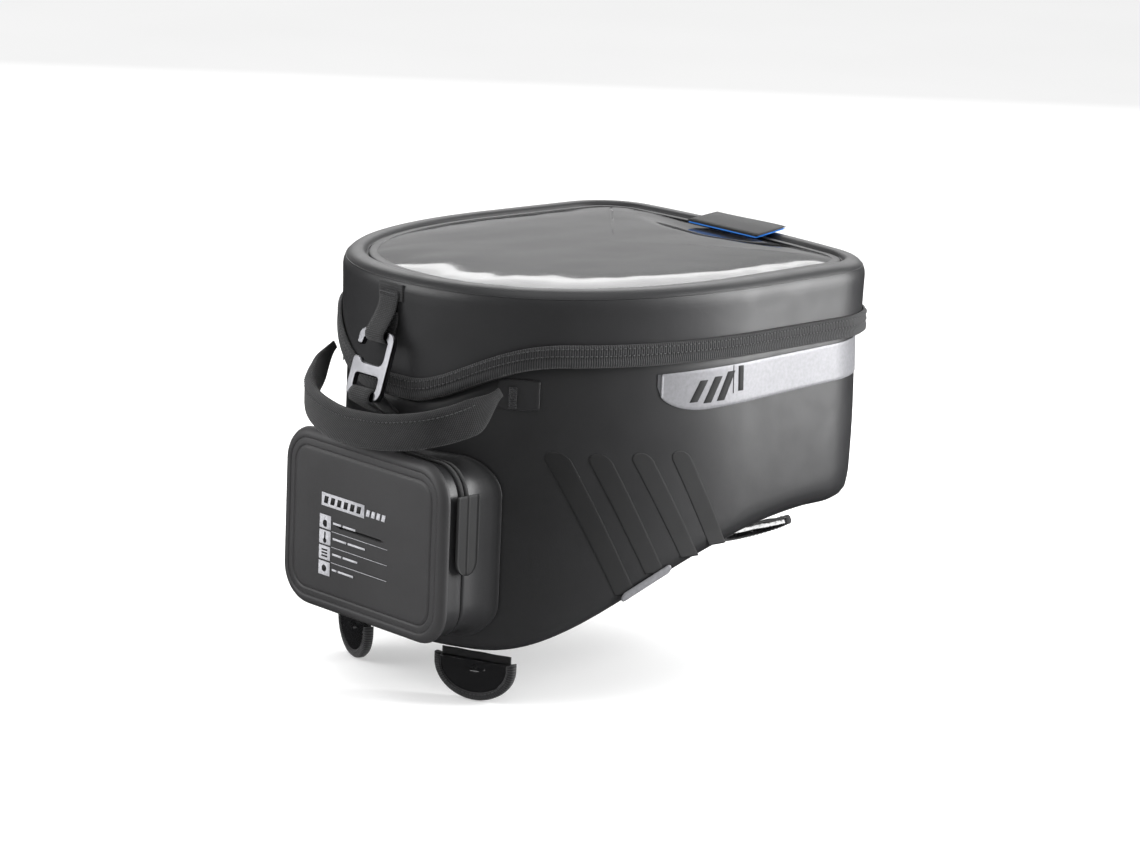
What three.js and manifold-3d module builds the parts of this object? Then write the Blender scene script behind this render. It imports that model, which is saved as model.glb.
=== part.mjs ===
// Motorcycle tank bag: a sloping waterproof tub with a zipped, hinged lid, a map window, a front pocket,
// a hook closure, a padded carry handle and four magnetic flaps. Millimetres, +Z up, pocket towards -Y.
import * as THREE from "three";
import { mergeVertices } from "three/addons/utils/BufferGeometryUtils.js";
import Module from "manifold-3d";

const wasm = await Module();
wasm.setup();

// ---------------------------------------------------------------- driving dimensions
const GAP = 0.4;

const HALF_WIDTH = 154;
const NOSE_Y = -154;
const BOW_Y = 47;
const REAR_Y = 199;
const BOW_FULLNESS = 0.62;
const RING_SEGMENTS = 80;

const RIM_Z = 298;
const RIM_RADIUS = 12;
const RIM_WIDTH = 17;
const DECK_Z = RIM_Z - 5;
const LID_WALL = 3.2;
const LID_TOP = 3;

const FLAP_LINE_Z = 246;
const FRONT_DIP = 33.5;
const DIP_OUTER_X = 118;
const DIP_INNER_X = 22;
const BINDING_HEIGHT = 15;
const BINDING_OVERHANG = 7;

const BODY_INSET = 5.1;
const BODY_WALL = 3.4;
const BODY_FLOOR_FRONT_Z = 36;
const BODY_FLOOR_REAR_Z = 120.5;
const BODY_EDGE_RADIUS = 14;

const POCKET_HALF_WIDTH = 88;
const POCKET_TOP_Z = 178;
const POCKET_BOTTOM_Z = 48;
const POCKET_CORNER = 27;
const POCKET_ZIP_Y = -153.5;
const POCKET_FACE_Y = -173;
const POCKET_WALL = 1.8;

const WEBBING = 1.6;
const STRAP_WIDTH = 20;

// ---------------------------------------------------------------- materials
const fabric = new THREE.MeshStandardMaterial({ color: 0x1c1d20, roughness: 0.62, metalness: 0 });
const darkFabric = new THREE.MeshStandardMaterial({ color: 0x121316, roughness: 0.85, metalness: 0 });
const webbing = new THREE.MeshStandardMaterial({ color: 0x0f1012, roughness: 0.9, metalness: 0 });
const film = new THREE.MeshStandardMaterial({ color: 0x2a2c30, roughness: 0.08, metalness: 0 });
const reflective = new THREE.MeshStandardMaterial({ color: 0xc4c6c8, roughness: 0.4, metalness: 0.2 });
const aluminium = new THREE.MeshStandardMaterial({ color: 0x8f9194, roughness: 0.35, metalness: 1 });
const board = new THREE.MeshStandardMaterial({ color: 0x303236, roughness: 0.7, metalness: 0 });
const blueFabric = new THREE.MeshStandardMaterial({ color: 0x1e5bb8, roughness: 0.6, metalness: 0 });
const magnetSteel = new THREE.MeshStandardMaterial({ color: 0x6c6e70, roughness: 0.5, metalness: 0.9 });
const zipPlastic = new THREE.MeshStandardMaterial({ color: 0x17181a, roughness: 0.45, metalness: 0 });

// ---------------------------------------------------------------- mesh helpers
const bag = new THREE.Group();

function lerp(a, b, t) {
  return a + (b - a) * t;
}

function smooth(t) {
  const c = Math.min(1, Math.max(0, t));
  return c * c * (3 - 2 * c);
}

// Six times the signed volume tells which way the faces point.
function signedVolume(points, faces) {
  let sum = 0;
  for (const [a, b, c] of faces) {
    sum += points[a].dot(points[b].clone().cross(points[c]));
  }
  return sum;
}

function closedGeometry(points, faces) {
  const outward = signedVolume(points, faces) > 0;
  const index = faces.flatMap(([a, b, c]) => (outward ? [a, b, c] : [a, c, b]));
  const geometry = new THREE.BufferGeometry().setFromPoints(points);
  geometry.setIndex(index);
  geometry.computeVertexNormals();
  return geometry;
}

// Joins closed rings of equal length, one after the other.
function joinRings(rings, faces, wrap) {
  const n = rings[0].length;
  const last = wrap ? rings.length : rings.length - 1;
  for (let r = 0; r < last; r++) {
    const lower = r * n;
    const upper = ((r + 1) % rings.length) * n;
    for (let i = 0; i < n; i++) {
      const j = (i + 1) % n;
      faces.push([lower + i, lower + j, upper + j], [lower + i, upper + j, upper + i]);
    }
  }
}

// Closes a ring that is symmetric about its first point with strips across it.
function capAcross(start, n, reversed, faces) {
  const push = (a, b, c) => faces.push(reversed ? [a, c, b] : [a, b, c]);
  const half = n / 2;
  push(start, start + n - 1, start + 1);
  for (let k = 1; k < half - 1; k++) {
    push(start + k, start + n - k, start + n - k - 1);
    push(start + k, start + n - k - 1, start + k + 1);
  }
  push(start + half - 1, start + half + 1, start + half);
}

function loft(rings) {
  const faces = [];
  const n = rings[0].length;
  joinRings(rings, faces, false);
  capAcross(0, n, false, faces);
  capAcross((rings.length - 1) * n, n, true, faces);
  return closedGeometry(rings.flat(), faces);
}

function ringBand(rings) {
  const faces = [];
  joinRings(rings, faces, true);
  return closedGeometry(rings.flat(), faces);
}

// A thin closed slab: surface(u, v, side) gives its points, side 0 inside and 1 outside.
function slab(uSteps, vSteps, surface) {
  const rings = [];
  for (let i = 0; i <= uSteps; i++) {
    const ring = [];
    for (let j = 0; j <= vSteps; j++) {
      ring.push(surface(i / uSteps, j / vSteps, 0));
    }
    for (let j = vSteps; j >= 0; j--) {
      ring.push(surface(i / uSteps, j / vSteps, 1));
    }
    rings.push(ring);
  }
  const faces = [];
  joinRings(rings, faces, false);
  const n = rings[0].length;
  const end = (rings.length - 1) * n;
  for (let j = 0; j < vSteps; j++) {
    faces.push([j, n - 1 - j, j + 1], [j + 1, n - 1 - j, n - 2 - j]);
    faces.push([end + j, end + j + 1, end + n - 1 - j], [end + j + 1, end + n - 2 - j, end + n - 1 - j]);
  }
  return closedGeometry(rings.flat(), faces);
}

function add(name, geometry, material, parent = bag) {
  const mesh = new THREE.Mesh(geometry, material);
  mesh.name = name;
  parent.add(mesh);
  return mesh;
}

function toManifold(geometry) {
  const bare = geometry.clone();
  bare.deleteAttribute("normal");
  bare.deleteAttribute("uv");
  const merged = mergeVertices(bare, 1e-4);
  const solid = { numProp: 3, vertProperties: merged.attributes.position.array };
  solid.triVerts = new Uint32Array(merged.index.array);
  return new wasm.Manifold(new wasm.Mesh(solid));
}

function fromManifold(manifold) {
  const mesh = manifold.getMesh();
  const geometry = new THREE.BufferGeometry();
  geometry.setAttribute("position", new THREE.BufferAttribute(mesh.vertProperties, 3));
  geometry.setIndex(new THREE.BufferAttribute(mesh.triVerts, 1));
  geometry.computeVertexNormals();
  return geometry;
}

function extruded(shape, depth, curveSegments) {
  return new THREE.ExtrudeGeometry(shape, { depth, curveSegments, bevelEnabled: false });
}

function box(width, depth, height, x, y, z) {
  return new THREE.BoxGeometry(width, depth, height).translate(x, y, z);
}

// ---------------------------------------------------------------- the plan outline
// Right half of the lid seen from above, from the nose round to the middle of the rear edge.
const halfPlan = new THREE.CurvePath();
halfPlan.add(
  new THREE.CubicBezierCurve(
    new THREE.Vector2(0, NOSE_Y),
    new THREE.Vector2(HALF_WIDTH * BOW_FULLNESS, NOSE_Y),
    new THREE.Vector2(HALF_WIDTH, BOW_Y - (BOW_Y - NOSE_Y) * BOW_FULLNESS),
    new THREE.Vector2(HALF_WIDTH, BOW_Y),
  ),
);
const SIDE_END = new THREE.Vector2(HALF_WIDTH - 3.5, REAR_Y - 59);
const CORNER_END = new THREE.Vector2(HALF_WIDTH - 51, REAR_Y - 5.5);
halfPlan.add(new THREE.LineCurve(new THREE.Vector2(HALF_WIDTH, BOW_Y), SIDE_END));
halfPlan.add(
  new THREE.CubicBezierCurve(
    SIDE_END,
    new THREE.Vector2(HALF_WIDTH - 4.5, REAR_Y - 34),
    new THREE.Vector2(HALF_WIDTH - 19, REAR_Y - 10),
    CORNER_END,
  ),
);
halfPlan.add(
  new THREE.QuadraticBezierCurve(
    CORNER_END,
    new THREE.Vector2(50, REAR_Y),
    new THREE.Vector2(0, REAR_Y),
  ),
);
const HALF_LENGTH = halfPlan.getLength();

// A point on the outline at a signed fraction: 0 at the nose, +1 and -1 at the middle of the rear.
function planPoint(fraction, inset, z) {
  const t = Math.min(1, Math.abs(fraction));
  const side = fraction < 0 ? -1 : 1;
  const at = halfPlan.getPointAt(t);
  const along = halfPlan.getTangentAt(t);
  if (t < 1e-6 || t > 1 - 1e-6) along.set(t < 0.5 ? 1 : -1, 0);
  return new THREE.Vector3(side * (at.x - inset * along.y), at.y + inset * along.x, z);
}

function planRing(inset, height) {
  const ring = [];
  for (let i = 0; i < RING_SEGMENTS; i++) {
    const whole = (2 * i) / RING_SEGMENTS;
    const fraction = whole <= 1 ? whole : whole - 2;
    const point = planPoint(fraction, inset, 0);
    point.z = typeof height === "function" ? height(point) : height;
    ring.push(point);
  }
  return ring;
}

// The fraction of the outline whose X or Y is the given value, on the right-hand half.
function fractionWhere(key, value) {
  let low = 0;
  let high = key === "x" ? 0.55 : 0.8;
  for (let i = 0; i < 40; i++) {
    const mid = (low + high) / 2;
    if (halfPlan.getPointAt(mid)[key] < value) low = mid;
    else high = mid;
  }
  return low;
}

// The line along the foot of the binding: level at the sides, dipping under the nose.
function flapLine(point) {
  if (point.y > 0) return FLAP_LINE_Z;
  const across = Math.abs(point.x);
  return FLAP_LINE_Z - FRONT_DIP * smooth((DIP_OUTER_X - across) / (DIP_OUTER_X - DIP_INNER_X));
}

// The underside of the body from front to rear.
const floorCurve = new THREE.CubicBezierCurve(
  new THREE.Vector2(-122, BODY_FLOOR_FRONT_Z),
  new THREE.Vector2(-75, BODY_FLOOR_FRONT_Z + 2),
  new THREE.Vector2(-25, 112),
  new THREE.Vector2(125, BODY_FLOOR_REAR_Z),
);

function floorZ(y) {
  if (y <= -122) return BODY_FLOOR_FRONT_Z;
  if (y >= 125) return BODY_FLOOR_REAR_Z;
  let low = 0;
  let high = 1;
  for (let i = 0; i < 30; i++) {
    const mid = (low + high) / 2;
    if (floorCurve.getPoint(mid).x < y) low = mid;
    else high = mid;
  }
  return floorCurve.getPoint(low).y;
}

// The body's outer front wall at a given X.
function wallY(x, standOff) {
  const t = fractionWhere("x", Math.abs(x));
  return planPoint(t, BODY_INSET - standOff, 0).y;
}

// ---------------------------------------------------------------- body: shell, lining and base board
function floorRing(inset, lift) {
  return planRing(inset, (p) => floorZ(p.y) + lift);
}

function bodyShell() {
  const inner = BODY_INSET + BODY_WALL;
  const lip = (p) => flapLine(p) + 2;
  return loft([
    floorRing(BODY_INSET + BODY_EDGE_RADIUS, 0),
    floorRing(BODY_INSET + 0.3 * BODY_EDGE_RADIUS, 0.3 * BODY_EDGE_RADIUS),
    floorRing(BODY_INSET, BODY_EDGE_RADIUS),
    planRing(BODY_INSET, lip),
    planRing(inner, lip),
    floorRing(inner, BODY_EDGE_RADIUS),
    floorRing(inner + 0.3 * BODY_EDGE_RADIUS, BODY_WALL + 0.3 * BODY_EDGE_RADIUS),
    floorRing(inner + BODY_EDGE_RADIUS, BODY_WALL),
  ]);
}

function bodyLining() {
  const outer = BODY_INSET + BODY_WALL + GAP;
  const inner = outer + 1;
  const base = BODY_WALL + GAP;
  const lip = (p) => flapLine(p) - 2;
  return loft([
    floorRing(outer + BODY_EDGE_RADIUS, base),
    floorRing(outer, BODY_EDGE_RADIUS + base),
    planRing(outer, lip),
    planRing(inner, lip),
    floorRing(inner, BODY_EDGE_RADIUS + base + 1),
    floorRing(inner + BODY_EDGE_RADIUS, base + 1),
  ]);
}

function baseBoard() {
  const base = BODY_WALL + GAP + 1 + GAP;
  const inset = BODY_INSET + BODY_WALL + BODY_EDGE_RADIUS + 6;
  return loft([floorRing(inset, base), floorRing(inset, base + 3)]);
}

add("body_shell", bodyShell(), fabric);
add("body_lining", bodyLining(), darkFabric);
add("base_board", baseBoard(), board);

// ---------------------------------------------------------------- lid: shell, deck, window, lining
const lid = new THREE.Group();
bag.add(lid);

function lidShell() {
  const foot = (p) => flapLine(p) + BINDING_OVERHANG;
  const deckInset = RIM_WIDTH;
  return loft([
    planRing(deckInset + 6, DECK_Z - LID_TOP),
    planRing(deckInset - 3, DECK_Z - LID_TOP),
    planRing(LID_WALL, RIM_Z - RIM_RADIUS - 2),
    planRing(LID_WALL, foot),
    planRing(0, foot),
    planRing(0, RIM_Z - RIM_RADIUS),
    planRing(0.3 * RIM_RADIUS, RIM_Z - 0.3 * RIM_RADIUS),
    planRing(RIM_RADIUS, RIM_Z),
    planRing(deckInset - 2, RIM_Z - 0.6),
    planRing(deckInset, DECK_Z),
    planRing(deckInset + 6, DECK_Z),
  ]);
}

function plate(inset, bottom, thickness) {
  return loft([planRing(inset, bottom), planRing(inset, bottom + thickness)]);
}

function windowFrame() {
  const bottom = DECK_Z + 1.2 + GAP;
  const outer = RIM_WIDTH + 1.2;
  const inner = RIM_WIDTH + 9;
  const corners = [
    [outer, bottom],
    [outer, bottom + 1],
    [inner, bottom + 1],
    [inner, bottom],
  ];
  return ringBand(corners.map(([inset, z]) => planRing(inset, z)));
}

add("lid_shell", lidShell(), fabric, lid);
add("lid_foam", plate(RIM_WIDTH + 8, DECK_Z - LID_TOP - GAP - 5, 5), board, lid);
add("map_panel", plate(RIM_WIDTH + 1.2, DECK_Z + GAP - 0.1, 0.9), darkFabric, lid);
add("map_window", plate(RIM_WIDTH + 9 + GAP, DECK_Z + 1.2 + GAP, 1), film, lid);
add("map_window_frame", windowFrame(), darkFabric, lid);

// ---------------------------------------------------------------- closure round the lid: binding, tapes
const STATION = 2 / RING_SEGMENTS;
const ZIP_STATIONS = 32;

// A strip along the outline on both sides of the nose; foot and head are heights over the flap line.
function outlineStrip(stations, insets, foot, head) {
  return slab(2 * stations, 1, (u, v, side) => {
    const point = planPoint(lerp(-stations, stations, u) * STATION, insets[side], 0);
    point.z = flapLine(point) + lerp(foot, head, v);
    return point;
  });
}

add("lid_binding", outlineStrip(ZIP_STATIONS, [-0.3, -2.3], 0, BINDING_HEIGHT), webbing, lid);
add("upper_zip_tape", outlineStrip(ZIP_STATIONS, [4.7, 3.6], 4.3, 15), darkFabric, lid);
add("lower_zip_tape", outlineStrip(ZIP_STATIONS, [4.7, 3.6], -1, 3.7), darkFabric);

// Folded fabric that joins body and lid along the rear edge.
const HINGE_Z = FLAP_LINE_Z + BINDING_OVERHANG - GAP;
const HINGE_DEPTH = 8;

function hingeStrip() {
  const steps = RING_SEGMENTS - 2 * (ZIP_STATIONS + 1);
  return slab(steps, 1, (u, v, side) => {
    const whole = (ZIP_STATIONS + 1 + u * steps) * STATION;
    const fraction = whole <= 1 ? whole : whole - 2;
    return planPoint(fraction, side ? 3.6 : 4.7, lerp(HINGE_Z - HINGE_DEPTH, HINGE_Z, v));
  });
}

add("rear_hinge_strip", hingeStrip(), fabric);

// ---------------------------------------------------------------- main zip slider, left-hand side
const SLIDER_Y = 78;
const sideDirection = new THREE.Vector2(SIDE_END.x - HALF_WIDTH, SIDE_END.y - BOW_Y).normalize();
const sliderX = HALF_WIDTH + (sideDirection.x * (SLIDER_Y - BOW_Y)) / sideDirection.y;

function onLeftSide(geometry) {
  const turn = Math.atan2(-sideDirection.x, sideDirection.y);
  return geometry.rotateZ(-turn).translate(-sliderX, SLIDER_Y, FLAP_LINE_Z);
}

function sliderBody(length, height, thickness) {
  const shape = new THREE.Shape();
  const cut = 3;
  shape.moveTo(-length / 2 + cut, -height / 2);
  shape.lineTo(length / 2 - cut, -height / 2);
  shape.lineTo(length / 2, -height / 2 + cut);
  shape.lineTo(length / 2, height / 2 - cut);
  shape.lineTo(length / 2 - cut, height / 2);
  shape.lineTo(-length / 2 + cut, height / 2);
  shape.lineTo(-length / 2, height / 2 - cut);
  shape.lineTo(-length / 2, -height / 2 + cut);
  const body = extruded(shape, thickness, 1);
  return body.rotateY(Math.PI / 2).rotateX(Math.PI / 2);
}

// A flat pull with round ends, hanging down from its eye.
function pullTab(width, length, thickness) {
  const shape = new THREE.Shape();
  const r = width / 2;
  shape.absarc(0, -r, r, 0, Math.PI, false);
  shape.absarc(0, -length + r, r, Math.PI, 2 * Math.PI, false);
  const body = extruded(shape, thickness, 6);
  return body.rotateX(Math.PI / 2).rotateZ(Math.PI / 2);
}

add("main_zip_slider", onLeftSide(sliderBody(16, 11, 2.6).translate(0.4, 0, 0.5)), zipPlastic);
add("main_zip_pull", onLeftSide(pullTab(9, 28, 1.6).translate(0.9, 0, -5.6)), webbing);

// ---------------------------------------------------------------- swept and bent strips
// A soft oval section swept along a curve; size(t) gives its height and thickness.
function sweptPad(curve, steps, size) {
  const sectionPoints = 10;
  const rings = [];
  for (let i = 0; i <= steps; i++) {
    const t = i / steps;
    const centre = curve.getPointAt(t);
    const along = curve.getTangentAt(t);
    const outward = new THREE.Vector3(along.y, -along.x, 0).normalize();
    const up = new THREE.Vector3().crossVectors(outward, along).normalize();
    const { height, thickness } = size(t);
    const ring = [];
    for (let k = 0; k < sectionPoints; k++) {
      const angle = (2 * Math.PI * k) / sectionPoints;
      const c = Math.cos(angle);
      const n = Math.sin(angle);
      const squarish = 1 / Math.pow(Math.pow(Math.abs(c), 4) + Math.pow(Math.abs(n), 4), 0.25);
      const offset = up.clone().multiplyScalar((c * squarish * height) / 2);
      offset.addScaledVector(outward, (n * squarish * thickness) / 2);
      ring.push(centre.clone().add(offset));
    }
    rings.push(ring);
  }
  return loft(rings);
}

// A flat strap of constant width whose side view follows a curve in Y and Z, centred on X = 0.
function sideViewStrap(points, thickness, width) {
  const onPlane = points.map(([y, z]) => new THREE.Vector3(0, y, z));
  const curve = new THREE.CatmullRomCurve3(onPlane, false, "centripetal");
  const steps = 4 * (points.length - 1);
  return slab(steps, 1, (u, v, side) => {
    const at = curve.getPointAt(u);
    const along = curve.getTangentAt(u);
    const half = (side - 0.5) * thickness;
    return new THREE.Vector3((v - 0.5) * width, at.y - along.z * half, at.z + along.y * half);
  });
}

// ---------------------------------------------------------------- hook closure at the nose
const HOOK = { pivotY: -176, pivotZ: 213, lean: 17, thickness: 4, width: 38, height: 50, bar: 6 };

function hookGeometry() {
  const half = HOOK.width / 2;
  const foot = -HOOK.bar / 2;
  const head = foot + HOOK.height;
  const corner = 7;
  const outline = new THREE.Shape();
  outline.moveTo(-half + corner, foot);
  outline.lineTo(half - corner, foot);
  outline.quadraticCurveTo(half, foot, half, foot + corner);
  outline.lineTo(half, head - corner);
  outline.quadraticCurveTo(half, head, half - corner, head);
  outline.lineTo(-half + corner, head);
  outline.quadraticCurveTo(-half, head, -half, head - corner);
  outline.lineTo(-half, foot + corner);
  outline.quadraticCurveTo(-half, foot, -half + corner, foot);
  const plateBody = extruded(outline, HOOK.thickness, 4);
  plateBody.translate(0, 0, -HOOK.thickness / 2);
  const inner = HOOK.width - 2 * HOOK.bar;
  const deep = HOOK.thickness + 2;
  const slotHeight = 11;
  const windowFoot = foot + 2 * HOOK.bar + slotHeight;
  const windowHeight = head - HOOK.bar - windowFoot;
  const mouthHeight = 9;
  const mouthX = -half + HOOK.bar / 2 - 1;
  const slot = box(inner, slotHeight, deep, 0, foot + HOOK.bar + slotHeight / 2, 0);
  const window = box(inner, windowHeight, deep, 0, windowFoot + windowHeight / 2, 0);
  const mouth = box(HOOK.bar + 4, mouthHeight, deep, mouthX, head - HOOK.bar - mouthHeight / 2, 0);
  const cut = [slot, window, mouth].reduce((left, hole) => left.subtract(toManifold(hole)), toManifold(plateBody));
  return fromManifold(cut);
}

const hook = new THREE.Group();
hook.position.set(0, HOOK.pivotY, HOOK.pivotZ);
hook.rotation.x = Math.PI / 2 - THREE.MathUtils.degToRad(HOOK.lean);
bag.add(hook);
add("g_hook", hookGeometry(), aluminium, hook);

// Where a point of the hook's plate lies in the bag's frame: up the plate, then out of its front face.
function onHook(up, out) {
  const lean = THREE.MathUtils.degToRad(HOOK.lean);
  const y = HOOK.pivotY + up * Math.sin(lean) - out * Math.cos(lean);
  return [y, HOOK.pivotZ + up * Math.cos(lean) + out * Math.sin(lean)];
}

const TOP_BAR = HOOK.height - HOOK.bar;
const WRAP = 5.2;

// Points round one of the hook's bars, from the first angle to the last; 0 is out of the plate's front.
function roundBar(up, firstDegrees, lastDegrees, count) {
  const points = [];
  for (let i = 0; i < count; i++) {
    const angle = THREE.MathUtils.degToRad(lerp(firstDegrees, lastDegrees, i / (count - 1)));
    points.push(onHook(up + WRAP * Math.sin(angle), WRAP * Math.cos(angle)));
  }
  return points;
}

// Webbing loop from the lid round the hook's top bar and back.
const loopPath = [
  [NOSE_Y - 3.8, 280],
  [NOSE_Y - 4.2, 270],
  ...roundBar(TOP_BAR, 20, -150, 6),
  [NOSE_Y - 1.6, 262],
  [NOSE_Y - 1.4, 270],
];
add("hook_loop", sideViewStrap(loopPath, WEBBING, STRAP_WIDTH), webbing, lid);

// Webbing from the anchor on the body round the hook's lower bar.
const anchorY = wallY(0, 0);
const strapPath = [
  [anchorY - 1.4, 186],
  [anchorY - 2, 196],
  [HOOK.pivotY + 14, HOOK.pivotZ - 5],
  ...roundBar(0, 180, -60, 8),
  [HOOK.pivotY + 9, HOOK.pivotZ - 10.5],
];
add("hook_strap", sideViewStrap(strapPath, WEBBING, STRAP_WIDTH + 4), webbing);

// ---------------------------------------------------------------- carry handle
const HANDLE = { x: 87.5, y: -120.5, z: 224 };
const handlePath = [
  [-HANDLE.x - 1.5, HANDLE.y - 7, HANDLE.z - 2],
  [-87, -143, 214],
  [-62, -174, 200],
  [0, -190, 192],
  [62, -174, 200],
  [87, -143, 214],
  [HANDLE.x + 1.5, HANDLE.y - 7, HANDLE.z - 2],
].map((p) => new THREE.Vector3(...p));
const handleCurve = new THREE.CatmullRomCurve3(handlePath, false, "centripetal");
const handleSize = (t) => {
  const padded = smooth(Math.min(t, 1 - t) / 0.22);
  return { height: lerp(17, 24, padded), thickness: lerp(3, 9, padded) };
};
add("carry_handle", sweptPad(handleCurve, 28, handleSize), webbing);

// Sewn ends of the handle, flat on the body's wall.
function handleEnd(sign) {
  const middle = fractionWhere("x", HANDLE.x + 5);
  return slab(3, 1, (u, v, side) => {
    const fraction = sign * (middle + lerp(-0.012, 0.03, u));
    return planPoint(fraction, BODY_INSET - 0.5 - 1.2 * side, HANDLE.z + lerp(-9, 9, v));
  });
}

add("handle_end_right", handleEnd(1), webbing);
add("handle_end_left", handleEnd(-1), webbing);

// ---------------------------------------------------------------- front pocket
const POCKET_MIDDLE_Z = (POCKET_TOP_Z + POCKET_BOTTOM_Z) / 2;
const POCKET_RING = 40;

// A rounded rectangle in X and Z, from its right-hand middle round; its depth is a number or depends on X.
function pocketRing(inset, depth) {
  const halfW = POCKET_HALF_WIDTH - inset;
  const halfH = (POCKET_TOP_Z - POCKET_BOTTOM_Z) / 2 - inset;
  const corner = Math.max(2, Math.min(POCKET_CORNER - inset, halfW - 1, halfH - 1));
  const outline = new THREE.CurvePath();
  const v = (x, z) => new THREE.Vector2(x, z);
  outline.add(new THREE.LineCurve(v(0, halfH), v(halfW - corner, halfH)));
  outline.add(
    new THREE.CubicBezierCurve(
      v(halfW - corner, halfH),
      v(halfW - 0.45 * corner, halfH),
      v(halfW, halfH - 0.45 * corner),
      v(halfW, halfH - corner),
    ),
  );
  outline.add(new THREE.LineCurve(v(halfW, halfH - corner), v(halfW, -halfH + corner)));
  outline.add(
    new THREE.CubicBezierCurve(
      v(halfW, -halfH + corner),
      v(halfW, -halfH + 0.45 * corner),
      v(halfW - 0.45 * corner, -halfH),
      v(halfW - corner, -halfH),
    ),
  );
  outline.add(new THREE.LineCurve(v(halfW - corner, -halfH), v(0, -halfH)));
  const ring = [];
  for (let i = 0; i < POCKET_RING; i++) {
    const whole = (2 * i) / POCKET_RING;
    const at = outline.getPointAt(whole <= 1 ? whole : 2 - whole);
    const x = whole <= 1 ? at.x : -at.x;
    const y = typeof depth === "function" ? depth(x) : depth;
    ring.push(new THREE.Vector3(x, y, POCKET_MIDDLE_Z + at.y));
  }
  const quarter = POCKET_RING / 4;
  return [...ring.slice(quarter), ...ring.slice(0, quarter)];
}

const onWall = (standOff) => (x) => wallY(x, standOff);
const FLOOR_INSETS = [8, 22, 38, 52, 61];

function pocketTray() {
  const back = 0.9;
  const floor = back + POCKET_WALL;
  const flange = 2.2;
  return loft([
    ...FLOOR_INSETS.toReversed().map((inset) => pocketRing(inset, onWall(back))),
    pocketRing(0, onWall(back)),
    pocketRing(0, onWall(back + flange)),
    pocketRing(4, (x) => Math.max(wallY(x, back + flange + 2), POCKET_ZIP_Y + 0.6)),
    pocketRing(4, POCKET_ZIP_Y),
    pocketRing(4 + POCKET_WALL, POCKET_ZIP_Y),
    ...FLOOR_INSETS.map((inset) => pocketRing(inset, (x) => Math.max(wallY(x, floor), POCKET_ZIP_Y + 0.3))),
  ]);
}

function pocketCover() {
  const front = POCKET_FACE_Y;
  const back = POCKET_ZIP_Y - GAP;
  return loft([
    pocketRing(61, front + POCKET_WALL),
    pocketRing(30, front + POCKET_WALL),
    pocketRing(5, front + POCKET_WALL),
    pocketRing(3 + POCKET_WALL, back),
    pocketRing(3, back),
    pocketRing(2, front + 8),
    pocketRing(5, front),
    pocketRing(30, front),
    pocketRing(61, front),
  ]);
}

function pocketRim() {
  const front = POCKET_FACE_Y;
  return ringBand([
    pocketRing(1.4, front + 7),
    pocketRing(0, front + 6),
    pocketRing(0.4, front + 0.5),
    pocketRing(3, front - 1.8),
    pocketRing(8, front - 1.8),
    pocketRing(8.4, front - 0.5),
    pocketRing(4.4, front - 0.5),
    pocketRing(1.4, front + 5),
  ]);
}

function pocketFacePanel() {
  const back = POCKET_FACE_Y - GAP;
  return loft([
    pocketRing(8.9, back),
    pocketRing(8.9, back - 1),
    pocketRing(20, back - 1.6),
    pocketRing(60, back - 2),
  ]);
}

add("pocket_tray", pocketTray(), fabric);
add("pocket_cover", pocketCover(), fabric);
add("pocket_rim", pocketRim(), fabric);
add("pocket_face_panel", pocketFacePanel(), fabric);

// U-shaped welded garages on both side walls, where the pocket's zip ends.
const GARAGE = { foot: 100, head: 157, halfWidth: 10.5, standOff: 0.5, thickness: 0.9 };

function garageShape() {
  const shape = new THREE.Shape();
  shape.moveTo(-GARAGE.halfWidth, GARAGE.head);
  shape.lineTo(-GARAGE.halfWidth, GARAGE.foot + GARAGE.halfWidth);
  shape.absarc(0, GARAGE.foot + GARAGE.halfWidth, GARAGE.halfWidth, Math.PI, 2 * Math.PI, false);
  shape.lineTo(GARAGE.halfWidth, GARAGE.head);
  return extruded(shape, GARAGE.thickness, 6);
}

function onPocketSide(geometry, sign, standOff, thickness) {
  geometry.rotateX(Math.PI / 2).rotateZ(Math.PI / 2);
  const from = sign * (POCKET_HALF_WIDTH + standOff) - (sign < 0 ? thickness : 0);
  return geometry.translate(from, POCKET_ZIP_Y, 0);
}

for (const [side, sign] of [["right", 1], ["left", -1]]) {
  const patch = onPocketSide(garageShape(), sign, GARAGE.standOff, GARAGE.thickness);
  add("pocket_zip_garage_" + side, patch, darkFabric);
}
const pocketSliderX = -(POCKET_HALF_WIDTH + GARAGE.standOff + GARAGE.thickness + GAP + 1.4);
const pocketSlider = sliderBody(9, 13, 2.8).translate(pocketSliderX - 1.4, POCKET_ZIP_Y, 122);
const pocketPull = pullTab(8, 26, 1.6).translate(pocketSliderX - 0.8, POCKET_ZIP_Y, 115);
add("pocket_zip_slider", pocketSlider, zipPlastic);
add("pocket_zip_pull", pocketPull, webbing);

// ---------------------------------------------------------------- reflective strips and side relief
function wallPatch(uSteps, vSteps, standOff, thickness, place) {
  return slab(uSteps, vSteps, (u, v, side) => {
    const { fraction, z } = place(u, v);
    return planPoint(fraction, BODY_INSET - standOff - side * thickness, z);
  });
}

const STRIP_START = fractionWhere("y", -30);
const STRIP_REAR = 0.9;

function reflectiveStrip(sign) {
  return wallPatch(22, 1, 0.5, 0.6, (u, v) => {
    const fraction = lerp(STRIP_START, STRIP_REAR, u);
    const rounded = Math.sqrt(1 - Math.pow(1 - Math.min(1, u / 0.16), 2));
    const depth = lerp(29.5, 25.5, u) * lerp(0.35, 1, rounded);
    const head = lerp(237, 242, Math.min(1, u / 0.75));
    return { fraction: sign * fraction, z: head - (1 - v) * depth };
  });
}

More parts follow.
